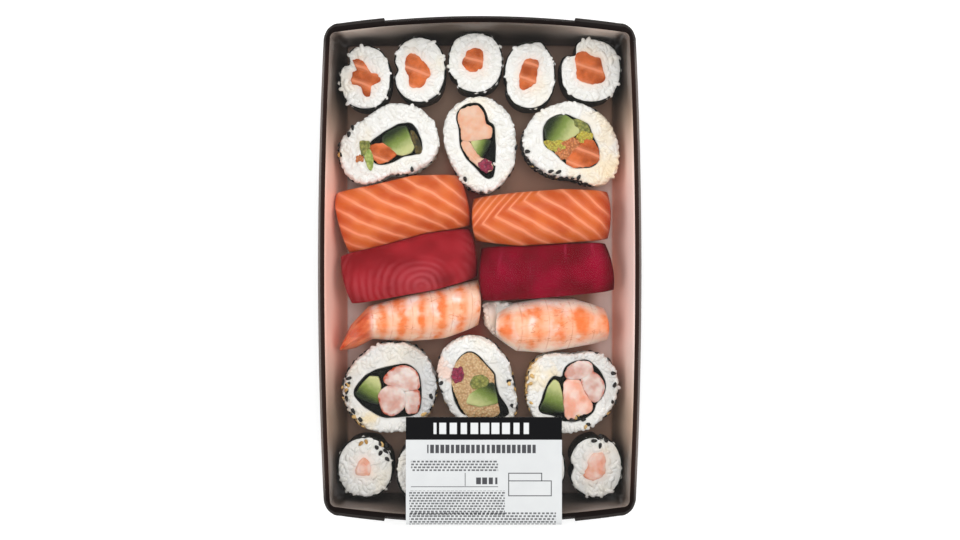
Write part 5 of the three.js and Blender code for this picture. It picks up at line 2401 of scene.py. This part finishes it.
            (49.7, -51.5), (48.3, -53.0), (50.2, -58.0), (52.6, -61.8), (55.0, -63.5), (57.4, -61.8),
            (59.3, -58.0), (59.1, -54.2), (56.4, -50.3), (53.6, -48.9)), proud=0.7, rough=0.4, rounding=0.6),
        Strip("crab", Food.CRAB, (
            (40.4, -64.7), (41.2, -71.3), (44.0, -71.8), (47.8, -69.0), (52.8, -68.5), (54.0, -64.7),
            (51.9, -61.6), (49.7, -57.5), (48.3, -53.2), (44.0, -52.7), (40.4, -53.2)), proud=0.4,
            rough=0.5)),
        black=(Arc(5, 46, 0.4), Arc(60, 24, 0.15), Arc(170, 40, 0.2), Arc(-50, 30, 0.4)),
        white=(Arc(170, 40, 0.7), Arc(0, 40, 0.1), Arc(-50, 30, 0.2)), stain=(Arc(150, 30, 0.7),),
        shade=(Arc(60, 90, 0.35),)),
)

# Seeds on the two outer crab rolls and on the shrimp roll beside the label.
SPRINKLES = (
    Sprinkle(-46.8, -85.2, 2.8, 1.0, 0.35), Sprinkle(-55.4, -82.8, 1.7, 0.0, 1.0),
    Sprinkle(-44.6, -90.6, 1.4, 1.0, 0.0), Sprinkle(57.6, -82.4, 3.0, 1.0, 0.0),
    Sprinkle(47.5, -74.0, 4.0, 0.7, 0.2, 27.2),
)

SALMON_SLICE = {"height": 33.0, "thickness": 6.5, "sag": 8.0, "seat": 1.1, "slot": "salmon"}
TUNA_SLICE = {"height": 32.0, "thickness": 7.5, "sag": 7.0, "seat": 1.1, "slot": "tuna", "spread": 1.07}
SHRIMP_SLICE = {"height": 30.0, "thickness": 5.0, "sag": 10.0, "seat": 2.6, "slot": "shrimp"}
NIGIRI = (
    Nigiri("salmon_nigiri_1", (
        (-62.8, 7.8, -70.2, 36.4), (-44.5, 12.6, -51.5, 40.0), (-26.0, 17.8, -32.0, 44.6),
        (-4.3, 21.0, -9.8, 45.4)), look="salmon_slice_slanted", rice=(0.08, 0.93), **SALMON_SLICE),
    Nigiri("salmon_nigiri_2", (
        (-2.2, 13.8, -3.0, 34.2), (19.0, 11.6, 18.6, 36.6), (40.0, 13.0, 40.0, 38.2),
        (61.6, 14.6, 61.4, 37.6)), look="salmon_slice_chevron", rice=(0.07, 0.94), **SALMON_SLICE),
    Nigiri("tuna_nigiri_1", (
        (-61.6, -16.2, -66.8, 6.2), (-41.0, -12.4, -46.0, 11.0), (-21.0, -8.8, -26.0, 16.4),
        (-1.2, -3.2, -4.6, 19.4)), look="tuna_slice_light", rice=(0.09, 0.93), **TUNA_SLICE),
    Nigiri("tuna_nigiri_2", (
        (0.9, -14.6, 0.8, 10.2), (22.0, -13.4, 21.0, 10.4), (43.0, -11.8, 41.0, 11.6),
        (64.6, -9.6, 60.4, 12.4)), look="tuna_slice_dark", rice=(0.07, 0.93), **TUNA_SLICE),
    ShrimpNigiri("shrimp_nigiri_1", (
        (-66.6, -39.4, -66.8, -36.2), (-59.8, -37.6, -62.0, -26.8), (-51.5, -33.2, -53.6, -18.0),
        (-34.0, -34.2, -36.0, -13.2), (-17.0, -32.8, -17.5, -9.4), (-0.8, -27.2, -1.0, -4.8)),
        look="shrimp_tailed", rice=(0.3, 1.0), bands=(-46.0, -36.5, -26.9, -17.3, -8.0), tail_to=-49.0,
        **SHRIMP_SLICE),
    ShrimpNigiri("shrimp_nigiri_2", (
        (8.0, -32.8, 8.6, -20.4), (17.5, -38.8, 17.0, -16.4), (30.5, -39.6, 30.0, -14.2),
        (46.0, -37.0, 45.5, -14.6), (61.6, -34.4, 60.2, -18.6)), look="shrimp_cut", rice=(-0.18, 0.9),
        bands=(12.9, 27.8, 38.8, 49.9, 60.0), bed=((2.0, -29.0, 2.2, -13.2), (8.2, -34.2, 8.4, -13.4),
        (14.8, -37.6, 14.6, -14.4), (23.2, -39.1, 22.7, -15.0), (33.0, -39.2, 32.5, -14.3),
        (44.1, -37.3, 43.6, -14.5), (55.4, -35.4, 54.3, -17.0)), **SHRIMP_SLICE),
)


# ---- Stage -----------------------------------------------------------


@dataclass(frozen=True)
class Lamp:
    """A soft area light over the tray, in metres and watts; one may be kept out of reflections."""

    name: str
    place: Point
    size: float
    power: float
    mirrored: bool = True

    def build(self) -> None:
        """Adds the light, turned to the tray's middle."""
        data = bpy.data.lights.new(self.name, "AREA")
        data.shape = "DISK"
        data.size = self.size
        data.energy = self.power
        light = bpy.data.objects.new(self.name, data)
        light.location = self.place
        light.visible_glossy = self.mirrored
        light.rotation_euler = (-Vector(self.place)).to_track_quat("-Z", "Y").to_euler()
        bpy.context.scene.collection.objects.link(light)


@dataclass(frozen=True)
class Studio:
    """The pale floor, the even light and the camera straight above, in metres."""

    floor_half: float = 1.5
    floor_level: float = -0.0004
    ambient: float = 0.5
    glow: float = 0.3
    camera_place: Point = (0.00012, -0.00024, 0.89)
    lens: float = 67.8
    lamps: tuple[Lamp, ...] = (
        Lamp("left_light", (-1.25, 0.15, 0.75), 1.8, 10.4),
        Lamp("right_light", (1.25, 0.15, 0.75), 1.8, 9.5),
        Lamp("back_light", (0.1, 1.25, 1.15), 0.9, 5.4),
        Lamp("front_light", (-0.1, -1.25, 1.2), 0.9, 2.7),
        Lamp("top_light", (0.05, 0.15, 1.7), 0.8, 5.0, False),
    )

    def build(self) -> None:
        """Sets up floor, light and camera."""
        scene = bpy.context.scene
        mesh = bpy.data.meshes.new("floor")
        corners = ((-1, -1), (1, -1), (1, 1), (-1, 1))
        places = [(x * self.floor_half, y * self.floor_half, self.floor_level) for x, y in corners]
        mesh.from_pydata(places, [], [(0, 1, 2, 3)])
        s = Shader("floor_white")
        mesh.materials.append(s.surface(s.mix(s.noise(3, 2), "F8F8F7", "FCFCFC"), 0.8,
                                        Emission_Color=(1.0, 1.0, 1.0, 1.0), Emission_Strength=self.glow))
        floor = bpy.data.objects.new("floor", mesh)
        scene.collection.objects.link(floor)
        world = bpy.data.worlds.new("studio_air")
        world.use_nodes = True
        back = world.node_tree.nodes["Background"]
        back.inputs["Color"].default_value = (1.0, 1.0, 1.0, 1.0)
        back.inputs["Strength"].default_value = self.ambient
        scene.world = world
        scene.view_settings.view_transform = "Standard"
        for lamp in self.lamps:
            lamp.build()
        data = bpy.data.cameras.new("overhead_camera")
        data.lens = self.lens
        data.sensor_width = 36.0
        data.clip_start = 0.01
        camera = bpy.data.objects.new("overhead_camera", data)
        camera.location = self.camera_place
        scene.collection.objects.link(camera)
        scene.camera = camera


def plain(box: Iterable[Iterable[float]]) -> list[list[float]]:
    """A box as plain lists of numbers."""
    return [[float(value) for value in corner] for corner in box]


def main() -> None:
    """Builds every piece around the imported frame."""
    logging.basicConfig(level=logging.INFO, format="%(name)s: %(message)s")
    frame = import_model()
    Studio().build()
    larder = Larder(frame["nodes"])
    tray = Tray()
    tray.build(larder)
    LiddingFilm(tray).build(larder)
    PaperLabel(tray).build(larder)
    for roll in THIN_ROLLS:
        roll.build(larder)
    bed = Draft()
    for roll in THICK_ROLLS:
        roll.build(larder, bed)
    for sprinkle in SPRINKLES:
        sprinkle.add(bed)
    for tone in ("black", "white"):
        larder.seeds(bed, tone)
    for piece in NIGIRI:
        piece.build(larder)
    larder.clear()


if __name__ == "__main__":
    main()
